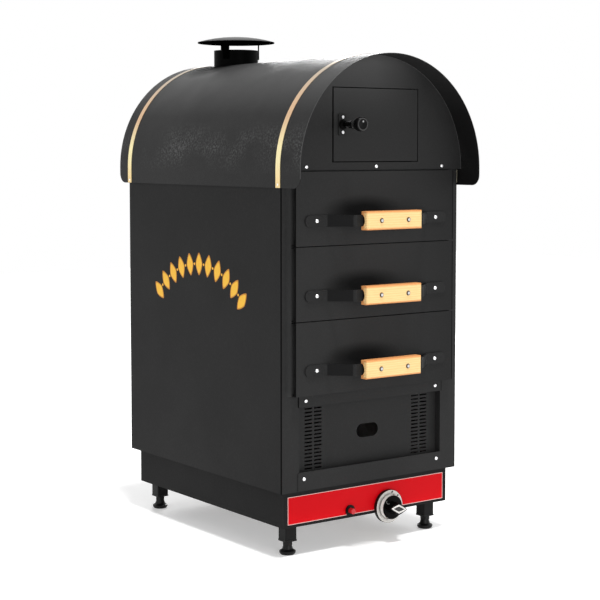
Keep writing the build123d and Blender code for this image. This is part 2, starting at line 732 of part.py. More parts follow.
def drawer_runners():
    """Six angle runners, a left and a right one for each drawer."""
    runners = []
    y0 = FRONT + CASE_T + LINER_T
    for index in range(DRAWERS):
        z = sill(index) + RUNNER_UP
        profile = rect(LINER_HALF - RUNNER_LEG, LINER_HALF, z, z + RUNNER_T)
        profile = profile + rect(LINER_HALF - RUNNER_T, LINER_HALF, z, z + RUNNER_LIP)
        right = along_y(profile, y0, FRONT + LINER_D)
        runners += [right, mirrored(right)]
    return runners


def insulation():
    """Mineral fibre: two side slabs, a rear slab and two strips under the roof's skirts."""
    x0 = LINER_HALF + LINER_T
    z0 = baffle_z()
    z1 = SPRING - CASE_T
    side = block(x0, INSIDE, FRONT + 2 * CASE_T, FRONT + LINER_D, z0, z1)
    rear = block(-x0, x0, FRONT + LINER_D + LINER_T, BACK - CASE_T, z0, z1)
    top = SPRING - SEAL_DROP
    strip = block(HALF, ROOF_IN, FRONT + CASE_T, BACK - CASE_T, top - SEAL_H, top)
    return [side, mirrored(side), rear, strip, mirrored(strip)]


# ---------------------------------------------------------------- door and latch
def door():
    """A shallow pan with pivot holes in its upper and lower folds."""
    pan = block(DOOR_LEFT, DOOR_RIGHT, ARCH_FACE, ARCH_FACE + DOOR_DEEP, DOOR_FOOT, DOOR_HEAD)
    pan = pan - block(
        DOOR_LEFT + CASE_T,
        DOOR_RIGHT - CASE_T,
        ARCH_FACE + CASE_T,
        ARCH_FACE + DOOR_DEEP,
        DOOR_FOOT + CASE_T,
        DOOR_HEAD - CASE_T,
    )
    ear = rod(PIVOT_R + PIVOT_IN - CASE_T, PIVOT_X, PIVOT_Y, DOOR_FOOT, CASE_T, "z")
    pan = pan + (ear & block(PIVOT_X - PIVOT_IN, DOOR_RIGHT, ARCH_FACE, BACK, 0, RIDGE))
    ear = Pos(0, 0, DOOR_H - CASE_T) * ear
    pan = pan + (ear & block(PIVOT_X - PIVOT_IN, DOOR_RIGHT, ARCH_FACE, BACK, 0, RIDGE))
    pan = pan - rod(PIVOT_R + PIVOT_FIT, PIVOT_X, PIVOT_Y, DOOR_FOOT, DOOR_H, "z")
    pan = pan - rod(SPINDLE_R + SPINDLE_FIT, LATCH_X, ARCH_FACE, LATCH_Z, CASE_T, "y")
    for side in (-1, 1):
        z = LATCH_Z + side * LATCH_RIVET_PITCH / 2
        pan = pan - rod(RIVET_R + HOLE_FIT, LATCH_X, ARCH_FACE, z, CASE_T, "y")
    sweep = math.sqrt(CAM_L**2 - (LATCH_IN - CASE_T) ** 2)
    return pan - block(
        DOOR_LEFT,
        DOOR_LEFT + CASE_T,
        ARCH_FACE + CASE_T,
        BACK,
        LATCH_Z - CAM_W / 2 - CAM_GAP,
        LATCH_Z + sweep + CAM_GAP,
    )


def door_pivot(upper):
    """An angle behind the arch plate that carries a pin into the door's fold."""
    way = 1 if upper else -1
    edge = DOOR_HEAD if upper else DOOR_FOOT
    y0 = ARCH_FACE + CASE_T
    x0 = PIVOT_X - PIVOT_TAB_W / 2
    x1 = PIVOT_X + PIVOT_TAB_W / 2
    near = edge + way * PIVOT_TAB_GAP
    far = near + way * PIVOT_TAB_T
    tip = far + way * PIVOT_LEG
    y1 = PIVOT_Y + PIVOT_BACK
    tab = block(x0, x1, y0, y1, min(near, far), max(near, far))
    leg = block(x0, x1, y0, y0 + PIVOT_TAB_T, min(near, tip), max(near, tip))
    end = edge - way * (CASE_T + PIVOT_TAIL)
    pin = rod(PIVOT_R, PIVOT_X, PIVOT_Y, min(end, far), abs(far - end), "z")
    return tab + leg + pin


def latch_plate():
    """A riveted plate with a boss that guides the latch spindle."""
    face = Pos(LATCH_X, LATCH_Z) * RectangleRounded(LATCH_PLATE_W, LATCH_PLATE_H, RIVET_HEAD_R)
    plate = along_y(face, ARCH_FACE - LATCH_PLATE_T, ARCH_FACE)
    y = ARCH_FACE - LATCH_PLATE_T - LATCH_BOSS_H
    plate = plate + rod(LATCH_BOSS_R, LATCH_X, y, LATCH_Z, LATCH_BOSS_H, "y")
    depth = LATCH_PLATE_T + LATCH_BOSS_H
    plate = plate - rod(SPINDLE_R + SPINDLE_FIT, LATCH_X, y, LATCH_Z, depth, "y")
    rivets = []
    for side in (-1, 1):
        z = LATCH_Z + side * LATCH_RIVET_PITCH / 2
        face_y = ARCH_FACE - LATCH_PLATE_T
        plate = plate - rod(RIVET_R + HOLE_FIT, LATCH_X, face_y, z, LATCH_PLATE_T, "y")
        length = LATCH_PLATE_T + CASE_T + RIVET_TAIL
        rivets.append(
            fastener(LATCH_X, face_y, z, RIVET_HEAD_R, RIVET_HEAD_H, RIVET_R, length)
        )
    return [plate] + rivets


def latch_handle():
    """A tapered handle on the spindle, dished at its end."""
    rim = LATCH_REACH - LATCH_END_H
    r = LATCH_END_R
    outline = Polyline(
        (0, LATCH_ROOT),
        (LATCH_NECK_R, LATCH_ROOT),
        (LATCH_WAIST_R, rim - LATCH_WAIST),
        (r - LATCH_DISH, rim - LATCH_END_H),
        (r, rim),
        (r, LATCH_REACH - LATCH_DISH),
        (r - LATCH_DISH, LATCH_REACH),
        (0, LATCH_REACH - LATCH_DISH),
        close=True,
    )
    handle = turned(outline, LATCH_X, ARCH_FACE, LATCH_Z)
    depth = 2 * LATCH_ROOT
    bore = rod(SPINDLE_R + SPINDLE_FIT, LATCH_X, ARCH_FACE - depth, LATCH_Z, depth, "y")
    return handle - bore


def latch_cam():
    """The spindle and its cam, which points up while the latch is open."""
    y0 = ARCH_FACE - 2 * LATCH_ROOT
    y1 = ARCH_FACE + CAM_BACK + CAM_T
    spindle = rod(SPINDLE_R, LATCH_X, y0, LATCH_Z, y1 - y0, "y")
    plate = Pos(LATCH_X, LATCH_Z) * Circle(CAM_W / 2)
    tip = CAM_L - CAM_W / 2
    plate = plate + rect(LATCH_X - CAM_W / 2, LATCH_X + CAM_W / 2, LATCH_Z, LATCH_Z + tip)
    plate = plate + Pos(LATCH_X, LATCH_Z + tip) * Circle(CAM_W / 2)
    return spindle + along_y(plate, ARCH_FACE + CAM_BACK, y1)


# ---------------------------------------------------------------- drawers
def drawer_front(index):
    """The front sheet, folded back along its upper and lower edges, open at its ends."""
    foot = drawer_foot(index)
    head = foot + FRONT_H
    y1 = FRONT - FRONT_FIT
    side = folded([(y1, foot), (FRONT_FACE, foot), (FRONT_FACE, head), (y1, head)], CASE_T)
    front = along_x(side, -FRONT_W / 2, FRONT_W / 2)
    mask = rect(-FRONT_W / 2, FRONT_W / 2, foot, head)
    front = front & along_y(fillet(mask.vertices(), FRONT_R), FRONT_FACE, FRONT)
    z = foot + HANDLE_UP
    for x in (-HANDLE_RIVET, HANDLE_RIVET):
        front = front - rod(RIVET_R + HOLE_FIT, x, FRONT_FACE, z, CASE_T, "y")
    return front


def drawer_tray(index):
    """A welded tray: a flat floor, two flat ends, and two sides turned out at the top."""
    z0 = sill(index) + RUNNER_UP + RUNNER_T + RUNNER_FIT
    z1 = z0 + TRAY_T
    z2 = z0 + TRAY_H
    y0 = FRONT_FACE + CASE_T
    y1 = y0 + TRAY_D
    half = TRAY_W / 2
    inside = half - TRAY_T
    floor = block(-half, half, y0, y1, z0, z1)
    front = block(-inside, inside, y0, y0 + TRAY_T, z1, z2)
    rear = block(-inside, inside, y1 - TRAY_T, y1, z1, z2)
    section = folded([(inside, z1), (inside, z2), (half + TRAY_RIM, z2)], TRAY_T)
    right = along_y(section, y0, y1)
    z = drawer_foot(index) + HANDLE_UP
    for x in (-HANDLE_RIVET, HANDLE_RIVET):
        front = front - rod(RIVET_R + HOLE_FIT, x, y0, z, TRAY_T, "y")
    return [floor, front, rear, right, mirrored(right)]


def handle_z(index):
    """Height of a drawer handle's axis."""
    return drawer_foot(index) + HANDLE_UP


def drawer_strap(index):
    """A flat bar bent to two feet, two slants and a straight middle, with round ends."""
    out = FRONT_FACE - STRAP_OUT
    foot = FRONT_FACE - BAR_T
    points = [
        (STRAP_HALF, foot),
        (STRAP_KNEE, foot),
        (STRAP_SHOULDER, out),
        (-STRAP_SHOULDER, out),
        (-STRAP_KNEE, foot),
        (-STRAP_HALF, foot),
    ]
    plan = folded(points, BAR_T)
    z = handle_z(index)
    bar = along_z(plan, z - BAR_W / 2, z + BAR_W / 2)
    bends = [e for e in bar.edges().filter_by(Axis.Z) if abs(e.center().X) < STRAP_HALF - BAR_T]
    bar = fillet(bends, BAR_BEND)
    ends = Pos(0, z) * SlotOverall(2 * STRAP_HALF, BAR_W)
    bar = bar & along_y(ends, 2 * FRONT, 0)
    for x in (-HANDLE_RIVET, HANDLE_RIVET):
        bar = bar - rod(RIVET_R + HOLE_FIT, x, foot, z, BAR_T, "y")
    for x in (-GRIP_BOLT, GRIP_BOLT):
        bar = bar - rod(BOLT_R + HOLE_FIT, x, out, z, BAR_T, "y")
    return bar


def grip_face():
    """Front of the wooden grip."""
    return FRONT_FACE - STRAP_OUT - GRIP_D + GRIP_GROOVE


def drawer_grip(index):
    """A rounded wooden bar with a groove at its back that takes the strap."""
    z = handle_z(index)
    y0 = grip_face()
    bar = block(-GRIP_W / 2, GRIP_W / 2, y0, y0 + GRIP_D, z - GRIP_H / 2, z + GRIP_H / 2)
    front = bar.faces().sort_by(Axis.Y)[0]
    bar = fillet(front.edges(), GRIP_R)
    groove = BAR_W / 2 + GROOVE_FIT
    y1 = y0 + GRIP_D
    bar = bar - block(-GRIP_W, GRIP_W, y1 - GRIP_GROOVE, y1, z - groove, z + groove)
    curve = (groove**2 + GRIP_HOLLOW**2) / (2 * GRIP_HOLLOW)
    hollow = rod(curve, -GRIP_W, y1 - GRIP_GROOVE - GRIP_HOLLOW + curve, z, 2 * GRIP_W, "x")
    bar = bar - (hollow & block(-GRIP_W, GRIP_W, y0, y1 - GRIP_GROOVE, 0, RIDGE))
    for x in (-GRIP_BOLT, GRIP_BOLT):
        bar = bar - rod(BOLT_R + HOLE_FIT, x, y0, z, GRIP_D, "y")
    return bar


def drawer_fixings(index):
    """Two rivets through the strap's feet, two bolts with nuts through the grip."""
    z = handle_z(index)
    fixings = []
    for x in (-HANDLE_RIVET, HANDLE_RIVET):
        length = BAR_T + CASE_T + TRAY_T + RIVET_TAIL
        y = FRONT_FACE - BAR_T
        fixings.append(fastener(x, y, z, RIVET_HEAD_R, RIVET_HEAD_H, RIVET_R, length))
    y = grip_face()
    back = FRONT_FACE - STRAP_OUT + BAR_T
    for x in (-GRIP_BOLT, GRIP_BOLT):
        bolt = fastener(x, y, z, BOLT_HEAD_R, BOLT_HEAD_H, BOLT_R, back - y + NUT_H)
        nut = Pos(0, back + NUT_H, 0) * extrude(
            Plane.XZ * Pos(x, z) * RegularPolygon(NUT_R, 6, major_radius=False), NUT_H
        )
        fixings.append(bolt + nut)
    return fixings


# ---------------------------------------------------------------- plinth, legs and feet
def plinth():
    """Four walls with an inward flange on top, bored for the tap, the igniter and the inlet."""
    outer = rect(-PLINTH_HALF, PLINTH_HALF, PLINTH_Y0, PLINTH_Y1)
    t = CASE_T
    inner = rect(-PLINTH_HALF + t, PLINTH_HALF - t, PLINTH_Y0 + t, PLINTH_Y1 - t)
    w = PLINTH_FLANGE
    clear = rect(-PLINTH_HALF + w, PLINTH_HALF - w, PLINTH_Y0 + w, PLINTH_Y1 - w)
    box = along_z(outer, PLINTH_FOOT, BODY_FOOT)
    box = box - along_z(inner, PLINTH_FOOT, BODY_FOOT - t) - along_z(clear, 0, SPRING)
    box = box - rod(NOSE_R + NOSE_FIT, KNOB_X, PLINTH_Y0, KNOB_Z, t, "y")
    box = box - rod(BARREL_R + NOSE_FIT, IGNITER_X, PLINTH_Y0, IGNITER_Z, t, "y")
    return box - rod(INLET_R + NOSE_FIT, INLET_X, PLINTH_Y1 - t, INLET_Z, t, "y")


def leg_places():
    """Plan positions of the four legs."""
    x = PLINTH_HALF - LEG_SIDE
    return [(side * x, y) for y in (PLINTH_Y0 + LEG_END, PLINTH_Y1 - LEG_END) for side in (-1, 1)]


def leg_tube(x, y):
    """A square tube with rounded corners from below the plinth to its flange."""
    outer = RectangleRounded(LEG_W, LEG_W, LEG_R)
    inner = Rectangle(LEG_W - 2 * LEG_T, LEG_W - 2 * LEG_T)
    return along_z(Pos(x, y) * (outer - inner), LEG_FOOT, BODY_FOOT - CASE_T)


def leg_cap(x, y):
    """A plastic plug with a flange and a bush for the foot's stud."""
    plug_w = LEG_W - 2 * LEG_T - 2 * CAP_FIT
    wide = LEG_W + 2 * CAP_RIM
    cap = along_z(RectangleRounded(wide, wide, LEG_R), LEG_FOOT - CAP_H, LEG_FOOT)
    plug = along_z(Rectangle(plug_w, plug_w), LEG_FOOT, LEG_FOOT + CAP_PLUG)
    cap = cap + plug - rod(STUD_R + STUD_FIT, 0, 0, 0, BODY_FOOT, "z")
    return Pos(x, y, 0) * cap


def levelling_foot(x, y):
    """A flared pad, a hexagon neck for the spanner and a stud into the cap."""
    neck_top = LEG_FOOT - CAP_H - FOOT_GAP
    hex_foot = neck_top - HEX_H
    stud_top = neck_top + STUD_L
    outline = Polyline(
        (0, 0),
        (PAD_BASE_R, 0),
        (PAD_R, PAD_RISE),
        (PAD_R, PAD_H - PAD_EDGE / 2),
        (PAD_R - PAD_EDGE, PAD_H),
        (PAD_SHOULDER_R, PAD_H + PAD_SHOULDER_H),
        (NECK_R, hex_foot),
        (NECK_R, neck_top),
        (STUD_R, neck_top),
        (STUD_R, stud_top),
        (0, stud_top),
        close=True,
    )
    foot = turned(outline, 0, 0, 0, forward=False)
    foot = foot + along_z(RegularPolygon(HEX_AF / 2, 6, major_radius=False), hex_foot, neck_top)
    return Pos(x, y, 0) * foot


# ---------------------------------------------------------------- control fascia
def fascia_plate():
    """The coloured plate on the plinth's front wall."""
    half = PLINTH_HALF - FASCIA_SIDE
    face = rect(-half, half, PLINTH_FOOT + FASCIA_UP, BODY_FOOT - FASCIA_DOWN)
    face = face - Pos(KNOB_X, KNOB_Z) * Circle(NOSE_R + NOSE_FIT)
    face = face - Pos(IGNITER_X, IGNITER_Z) * Circle(BARREL_R + NOSE_FIT)
    return along_y(face, FASCIA_FACE, PLINTH_Y0)


def knob_bezel():
    """A turned ring with a sloped face, dished to take the knob's skirt."""
    front = BEZEL_D
    outline = Polyline(
        (NOSE_R + NOSE_FIT, 0),
        (BEZEL_R, 0),
        (BEZEL_R, front - BEZEL_RIM),
        (BEZEL_R - BEZEL_RIM, front),
        (BEZEL_IN_R + BEZEL_RIM, front - BEZEL_SLOPE),
        (BEZEL_IN_R, front - BEZEL_SLOPE - BEZEL_RIM),
        (BEZEL_IN_R, BEZEL_BACK_T),
        (NOSE_R + NOSE_FIT, BEZEL_BACK_T),
        close=True,
    )
    return turned(outline, KNOB_X, FASCIA_FACE, KNOB_Z)


def lozenge(long, tall):
    """A lozenge with rounded corners."""
    shape = make_face(
        Polyline((long / 2, 0), (0, tall / 2), (-long / 2, 0), (0, -tall / 2), close=True)
    )
    return fillet(shape.vertices(), GRIP_TIP_R)


def gas_knob():
    """A skirt disc, a hub behind it and a lozenge grip that narrows to its end."""
    back = SKIRT_BACK
    face = back + SKIRT_T
    outline = Polyline(
        (0, back - HUB_L),
        (HUB_R, back - HUB_L),
        (HUB_R, back),
        (SKIRT_R, back),
        (SKIRT_R, face - BEZEL_RIM),
        (SKIRT_R - BEZEL_RIM, face),
        (0, face),
        close=True,
    )
    knob = revolve(Plane.XZ * make_face(outline), Axis.Z)
    root = Pos(0, 0, face - BEZEL_RIM) * lozenge(GRIP_ROOT_LONG, GRIP_ROOT_TALL)
    tip = Pos(0, 0, face + GRIP_OUT) * lozenge(GRIP_LONG, GRIP_TALL)
    knob = knob + loft([root, tip])
    bore = rod(SPINDLE_R + SPINDLE_FIT, 0, 0, 0, back - HUB_L + SPINDLE_IN, "z")
    return Pos(KNOB_X, PLINTH_Y0, KNOB_Z) * Rot(90, 0, 0) * (knob - bore)


def tap_spindle():
    """The tap's spindle with a flat, from inside the knob to inside the tap."""
    front = PLINTH_Y0 - (SKIRT_BACK - HUB_L + SPINDLE_IN - CURVE_FIT)
    back = PLINTH_Y0 + CASE_T + TAP_BORE_L - KNOB_PUSH - NOSE_FIT
    bar = rod(SPINDLE_R, KNOB_X, front, KNOB_Z, back - front, "y")
    x = KNOB_X + SPINDLE_R / 2
    end = front + SPINDLE_IN / 2
    return bar - block(x, x + SPINDLE_R, front, end, KNOB_Z - SPINDLE_R, KNOB_Z + SPINDLE_R)


def spring_washer():
    """The washer that the tap's return spring bears on; it slides and doesn't turn."""
    y = PLINTH_Y0 + WASHER_BACK
    ring = rod(WASHER_R, KNOB_X, y, KNOB_Z, WASHER_T, "y")
    return ring - rod(SPINDLE_R + SPINDLE_FIT, KNOB_X, y, KNOB_Z, WASHER_T, "y")


def gas_tap():
    """The tap's body behind the wall, its nose through the wall, and the outlet boss."""
    y0 = PLINTH_Y0
    body = rod(TAP_R, KNOB_X, y0 + CASE_T, KNOB_Z, TAP_L, "y")
    body = body + rod(NOSE_R, KNOB_X, y0 - FASCIA_T, KNOB_Z, CASE_T + FASCIA_T, "y")
    body = body + rod(OUTLET_R, KNOB_X, OUTLET_Y, KNOB_Z, TAP_R + OUTLET_H, "z")
    body = body - rod(TAP_CAVITY_R, KNOB_X, y0 - FASCIA_T, KNOB_Z, TAP_CAVITY_L, "y")
    return body - rod(SPINDLE_R + SPINDLE_FIT, KNOB_X, y0, KNOB_Z, CASE_T + TAP_BORE_L, "y")


def igniter_body():
    """A flanged barrel through the wall with a locknut behind it and a bore for the button."""
    y0 = FASCIA_FACE - RING_D
    body = rod(RING_R, IGNITER_X, y0, IGNITER_Z, RING_D, "y")
    body = body + rod(BARREL_R, IGNITER_X, y0, IGNITER_Z, RING_D + BARREL_L, "y")
    nut = RegularPolygon(LOCKNUT_R, 6, major_radius=False)
    y1 = PLINTH_Y0 + CASE_T
    nut = Pos(0, y1 + LOCKNUT_H, 0) * extrude(
        Plane.XZ * Pos(IGNITER_X, IGNITER_Z) * nut, LOCKNUT_H
    )
    bore = BUTTON_IN + BUTTON_PUSH + NOSE_FIT
    body = body + nut
    return body - rod(BUTTON_R + BUTTON_FIT, IGNITER_X, y0, IGNITER_Z, bore, "y")


def igniter_button():
    """The push button, with a softened edge."""
    length = BUTTON_OUT + BUTTON_IN
    y = FASCIA_FACE - RING_D + BUTTON_IN
    outline = Polyline(
        (0, 0),
        (BUTTON_R, 0),
        (BUTTON_R, length - BUTTON_EDGE),
        (BUTTON_R - BUTTON_EDGE, length),
        (0, length),
        close=True,
    )
    return turned(outline, IGNITER_X, y, IGNITER_Z)


# ---------------------------------------------------------------- gas train
def gas_inlet():
    """A threaded nipple with a hexagon, through the plinth's rear wall."""
    y = PLINTH_Y1
    body = rod(INLET_R, INLET_X, y - INLET_IN, INLET_Z, INLET_IN + INLET_L + INLET_HEX_H, "y")
    hexagon = RegularPolygon(INLET_HEX / 2, 6, major_radius=False)
    hexagon = Pos(0, y + INLET_HEX_H, 0) * extrude(
        Plane.XZ * Pos(INLET_X, INLET_Z) * hexagon, INLET_HEX_H
    )
    bore = rod(INLET_BORE, INLET_X, y - INLET_IN, INLET_Z, BODY_D, "y")
    return body + hexagon - bore


def supply_pipe():
    """The supply pipe from the inlet forward to the tap's end."""
    y0 = PLINTH_Y0 + CASE_T + TAP_L
    y1 = PLINTH_Y1 - INLET_IN
    path = FilletPolyline(
        (KNOB_X, y0, KNOB_Z),
        (KNOB_X, y0 + PIPE_STRAIGHT, KNOB_Z),
        (INLET_X, y0 + PIPE_STRAIGHT + PIPE_CROSS, INLET_Z),
        (INLET_X, y1, INLET_Z),
        radius=PIPE_BEND,
    )
    return sweep(Plane(origin=path @ 0, z_dir=path % 0) * Circle(PIPE_R), path=path)


def feed_pipe():
    """The pipe from the tap's outlet through the floor up to the burner."""
    y = OUTLET_Y
    z0 = KNOB_Z + TAP_R + OUTLET_H
    z1 = BURNER_Z - BURNER_R - OUTLET_H
    level = (FLOOR_TOP + z1) / 2
    path = FilletPolyline(
        (KNOB_X, y, z0), (KNOB_X, y, level), (0, y, level), (0, y, z1), radius=FEED_BEND
    )
    return sweep(Plane(origin=path @ 0, z_dir=path % 0) * Circle(FEED_R), path=path)


def burner():
    """A bar burner with flat ends, a row of ports and two feet."""
    y0 = FRONT + BURNER_FRONT
    y1 = y0 + BURNER_L
    bar = rod(BURNER_R, 0, y0, BURNER_Z, BURNER_L, "y")
    boss = BURNER_R + OUTLET_H
    bar = bar + rod(OUTLET_R, 0, OUTLET_Y, BURNER_Z - boss, boss, "z")
    pitch = BURNER_L / PORTS
    for port in range(PORTS):
        y = y0 + (port + 0.5) * pitch
        bar = bar - block(
            -PORT_W / 2,
            PORT_W / 2,
            y - PORT_L / 2,
            y + PORT_L / 2,
            BURNER_Z + BURNER_R - PORT_DEEP,
            BURNER_Z + BURNER_R,
        )
    for y in (y0 + 2 * FOOT_W, y1 - 2 * FOOT_W):
        bar = bar + block(-FOOT_W / 2, FOOT_W / 2, y, y + FOOT_T, FLOOR_TOP, BURNER_Z)
    return bar


def spark_electrode():
    """A ceramic rod with its wire, on a clip beside the burner."""
    foot = BURNER_Z - SPARK_L / 2
    z1 = BURNER_Z + SPARK_CLIP_T
    y0 = SPARK_Y - SPARK_R
    clip = block(BURNER_R - SPARK_CLIP_LAP, SPARK_X, y0, SPARK_Y + SPARK_R, BURNER_Z, z1)
    clip = clip - rod(BURNER_R, 0, y0, BURNER_Z, 2 * SPARK_R, "y")
    stem = rod(SPARK_R, SPARK_X, SPARK_Y, foot, SPARK_L, "z")
    return clip + stem + rod(SPARK_WIRE_R, SPARK_X, SPARK_Y, foot + SPARK_L, SPARK_WIRE_L, "z")


# ---------------------------------------------------------------- the oven
def build():
    """Writes every piece of the oven."""
    right_panel = side_panel()
    right_liner = side_liner()
    save("barrel_roof", barrel_roof())
    front_strip = FRONT - STRIP_INSET
    rear_strip = BACK - STRIP_W - STRIP_INSET
    save("roof_trim_strips", trim_strip(front_strip), trim_strip(rear_strip))
    save("flue_collar", flue_collar())
    turns = [STRAP_TURN + step * 360 / STRAP_COUNT for step in range(STRAP_COUNT)]
    save("cowl_straps", *[cowl_strap(turn) for turn in turns])
    save("flue_cowl", flue_cowl())
    save("side_panel_right", right_panel)
    save("side_panel_left", mirrored(right_panel))
    save("back_panel", back_panel())
    save("front_frame", front_frame())
    save("cabinet_floor", cabinet_floor())
    save("oven_ceiling", oven_ceiling())
    save("arch_plate", arch_plate())
    save("vent_panel", vent_panel())
    save("lower_cover_strip", cover_strip())
    save("casing_screws", *casing_screws())
    save("oven_liner_right", right_liner)
    save("oven_liner_left", mirrored(right_liner))
    save("oven_liner_rear", rear_liner())
    save("heat_baffle", heat_baffle())
    save("drawer_runners", *drawer_runners())
    save("insulation", *insulation())
    save("door_panel", door())
    save("door_pivots", door_pivot(True), door_pivot(False))
    save("latch_plate", *latch_plate())
    save("latch_handle", latch_handle())
    save("latch_cam", latch_cam())
    for index in range(DRAWERS):
        name = "drawer_" + str(index + 1)
        save(name + "_front", drawer_front(index))
        save(name + "_tray", *drawer_tray(index))
        save(name + "_strap", drawer_strap(index))
        save(name + "_grip", drawer_grip(index))
        save(name + "_fixings", *drawer_fixings(index))
    save("plinth", plinth())
    save("fascia_plate", fascia_plate())
    save("knob_bezel", knob_bezel())
    save("gas_knob", gas_knob())
    save("tap_spindle", tap_spindle())
    save("spring_washer", spring_washer())
    save("gas_tap", gas_tap())
    save("igniter_body", igniter_body())
    save("igniter_button", igniter_button())
    save("gas_inlet", gas_inlet())
    save("gas_pipes", supply_pipe(), feed_pipe())
    save("burner", burner())
    save("spark_electrode", spark_electrode())
    save("leg_tubes", *[leg_tube(x, y) for x, y in leg_places()])
    save("leg_caps", *[leg_cap(x, y) for x, y in leg_places()])
    names = ("front_left", "front_right", "rear_left", "rear_right")
    for name, (x, y) in zip(names, leg_places()):
        save("foot_" + name, levelling_foot(x, y))


build()
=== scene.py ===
"""Looks for the baked potato oven: coats, metals, wood, marks, floor, lamps and camera."""

import math

import bmesh
import bpy
import numpy as np
from bpy.props import FloatProperty, FloatVectorProperty, IntProperty, PointerProperty
from bpy.types import Operator, Panel, PropertyGroup
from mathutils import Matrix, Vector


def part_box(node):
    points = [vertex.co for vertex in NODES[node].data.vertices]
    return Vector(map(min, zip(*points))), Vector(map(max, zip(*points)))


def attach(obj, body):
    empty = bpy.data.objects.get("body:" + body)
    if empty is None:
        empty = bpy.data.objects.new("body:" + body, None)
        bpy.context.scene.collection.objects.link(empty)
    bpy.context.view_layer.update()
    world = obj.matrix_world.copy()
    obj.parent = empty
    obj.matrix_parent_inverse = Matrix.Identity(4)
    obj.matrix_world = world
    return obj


bl_info = {
    "name": "Baked potato oven looks",
    "version": (1, 0, 0),
    "blender": (4, 5, 0),
    "location": "View3D > Sidebar > Oven",
    "description": "Dresses the oven with coats, metals, wood, marks, a floor, lamps and a camera",
    "category": "Object",
}

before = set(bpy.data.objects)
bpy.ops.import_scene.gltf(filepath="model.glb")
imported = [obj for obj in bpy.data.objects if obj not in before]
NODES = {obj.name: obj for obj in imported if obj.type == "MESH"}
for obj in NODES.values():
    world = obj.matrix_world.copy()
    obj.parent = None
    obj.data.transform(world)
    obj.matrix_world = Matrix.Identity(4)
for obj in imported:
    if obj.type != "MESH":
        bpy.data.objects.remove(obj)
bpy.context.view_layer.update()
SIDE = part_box("side_panel_left")
FRAME_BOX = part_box("front_frame")
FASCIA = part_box("fascia_plate")
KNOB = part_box("gas_knob")
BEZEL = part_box("knob_bezel")
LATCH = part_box("latch_handle")
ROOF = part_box("barrel_roof")
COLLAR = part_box("flue_collar")
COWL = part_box("flue_cowl")

# Lengths in metres, heights above the floor
DRAWERS = (1, 2, 3)
FRAME_FOLD = 0.0012  # folded side edges, as seen from the front
# The drawer fronts' and vent panel's side folds are darkened with painted shade
FRONT_FOLD = 0.0022
VENT_FOLD = 0.0018
POST_LIGHT_WIDTH = 0.014  # width of the strip of painted light on each post
SHADOW_X = -0.04  # middle of the painted shadow over each grip
SHADOW_UP = 0.022  # and above the grip's own
SHADOW_HALF = (0.12, 0.034)  # its half width and half height
SPECKLE = (0.835, 0.895, 0.96)  # foot, middle and top of the roof's band of speckles, a painted sheen
CROWN = (0.97, 1.065)  # where the painted highlight on the roof's crown begins and ends
ARCH_RISE = (0.93, 1.08)  # the same for the painted light on the arch
ARCH_SIDE = 0.14
SPOKES = 13.0  # painted gleams in the painted shade round the flue
COWL_RISE = 0.013
BOLT_X = 0.038  # grip bolts, on each side of the middle
STRAP_BEND = 0.0042  # end of the strap's front flat, behind its front
STRAP_FOOT = 0.0052  # start of its feet, ahead of its back
RIVET_R = 0.0042
RIVET_FACE = 0.0052  # crown of a strap rivet, ahead of the strap's back
PIT_R = 0.0009
SKIRT_BACK = 0.0246  # plate behind the knob's skirt, behind the grip's face
SKIRT_RISE = 0.0030  # front of the skirt, ahead of that plate
SKIRT_OVER = 0.0003  # how far the skirt reaches past that plate
SKIRT_THICK = 0.0025
SKIRT_ROUND = 0.001
GRIP_LEAN = 0.17  # drop of the grip's face to the right, as a slope
CAP_HALF = (0.0245, 0.0138)  # half width and half height of the grip's face
RIM_OUTER = (0.0222, 0.0102)
RIM_INNER = (0.0150, 0.0058)  # also the half sizes of the ribbed inset
RIM_RISE = 0.0009
RIB_PITCH = 0.0034
HOOK = (-0.0125, 0.0155)  # centre of the skirt's hook, from the knob's axis
HOOK_R = 0.0062
RING_R = 0.0335  # circle of the ring's dots
RING_EDGE = 0.037  # outer edge of the ring's slope
RING_FALL = 0.0034  # drop of the ring's slope over its width
RING_WIDTH = 0.007
LATCH_RIVET_UP = 0.0165  # latch rivets, above and below the handle's axis
LATCH_RIVET_R = 0.0034

# Linear colours of a heat tint, and of painted shade and painted highlights on small parts
BROWNED = (0.16, 0.09, 0.045)
BOLT_RING_SHADE = (0.16, 0.08, 0.03)
BOLT_CUP_SHADE = (0.05, 0.035, 0.025)
RING_WALL_SHADE = (0.006, 0.006, 0.006)
COWL_TOP_HIGHLIGHT = (0.3, 0.3, 0.3)
HANDLE_RIM_HIGHLIGHT = (0.07, 0.07, 0.07)
HANDLE_SPOT_HIGHLIGHT = (0.6, 0.6, 0.6)

# The photograph's view, with angles in degrees
CAMERA_AT = (-2.1477, -2.9626, 0.8953)
CAMERA_DOWN = 4.08
CAMERA_RIGHT = 36.23
CAMERA_LENS = 91.89
CAMERA_SHIFT = -0.0713

WORLD_LIGHT = 0.42  # strength of the white surroundings as light
FLOOR_GLOW = 0.32

# Each lamp's name, place, target, size and power
LAMPS = (
    ("lamp_right", (3.6, -1.8, 1.3), (0.0, -0.3, 0.55), 1.8, 9.0),
    ("lamp_front", (-0.7, -4.2, 0.9), (0.0, -0.3, 0.6), 2.0, 44.0),
    ("lamp_left", (-3.6, -0.6, 1.5), (-0.25, 0.0, 0.6), 2.2, 11.0),
    ("lamp_back", (2.25, 2.85, 1.8), (0.0, -0.25, 1.08), 1.3, 85.0),
)


# ---------------------------------------------------------------- user settings


def length(name, description, default, low=0.0, high=2.0):
    """A size in metres."""
    return FloatProperty(
        name=name, description=description, default=default, min=low, max=high, unit="LENGTH"
    )


def colour(name, description, default):
    """A linear colour."""
    return FloatVectorProperty(
        name=name, description=description, default=default, subtype="COLOR", size=3, min=0, max=1
    )


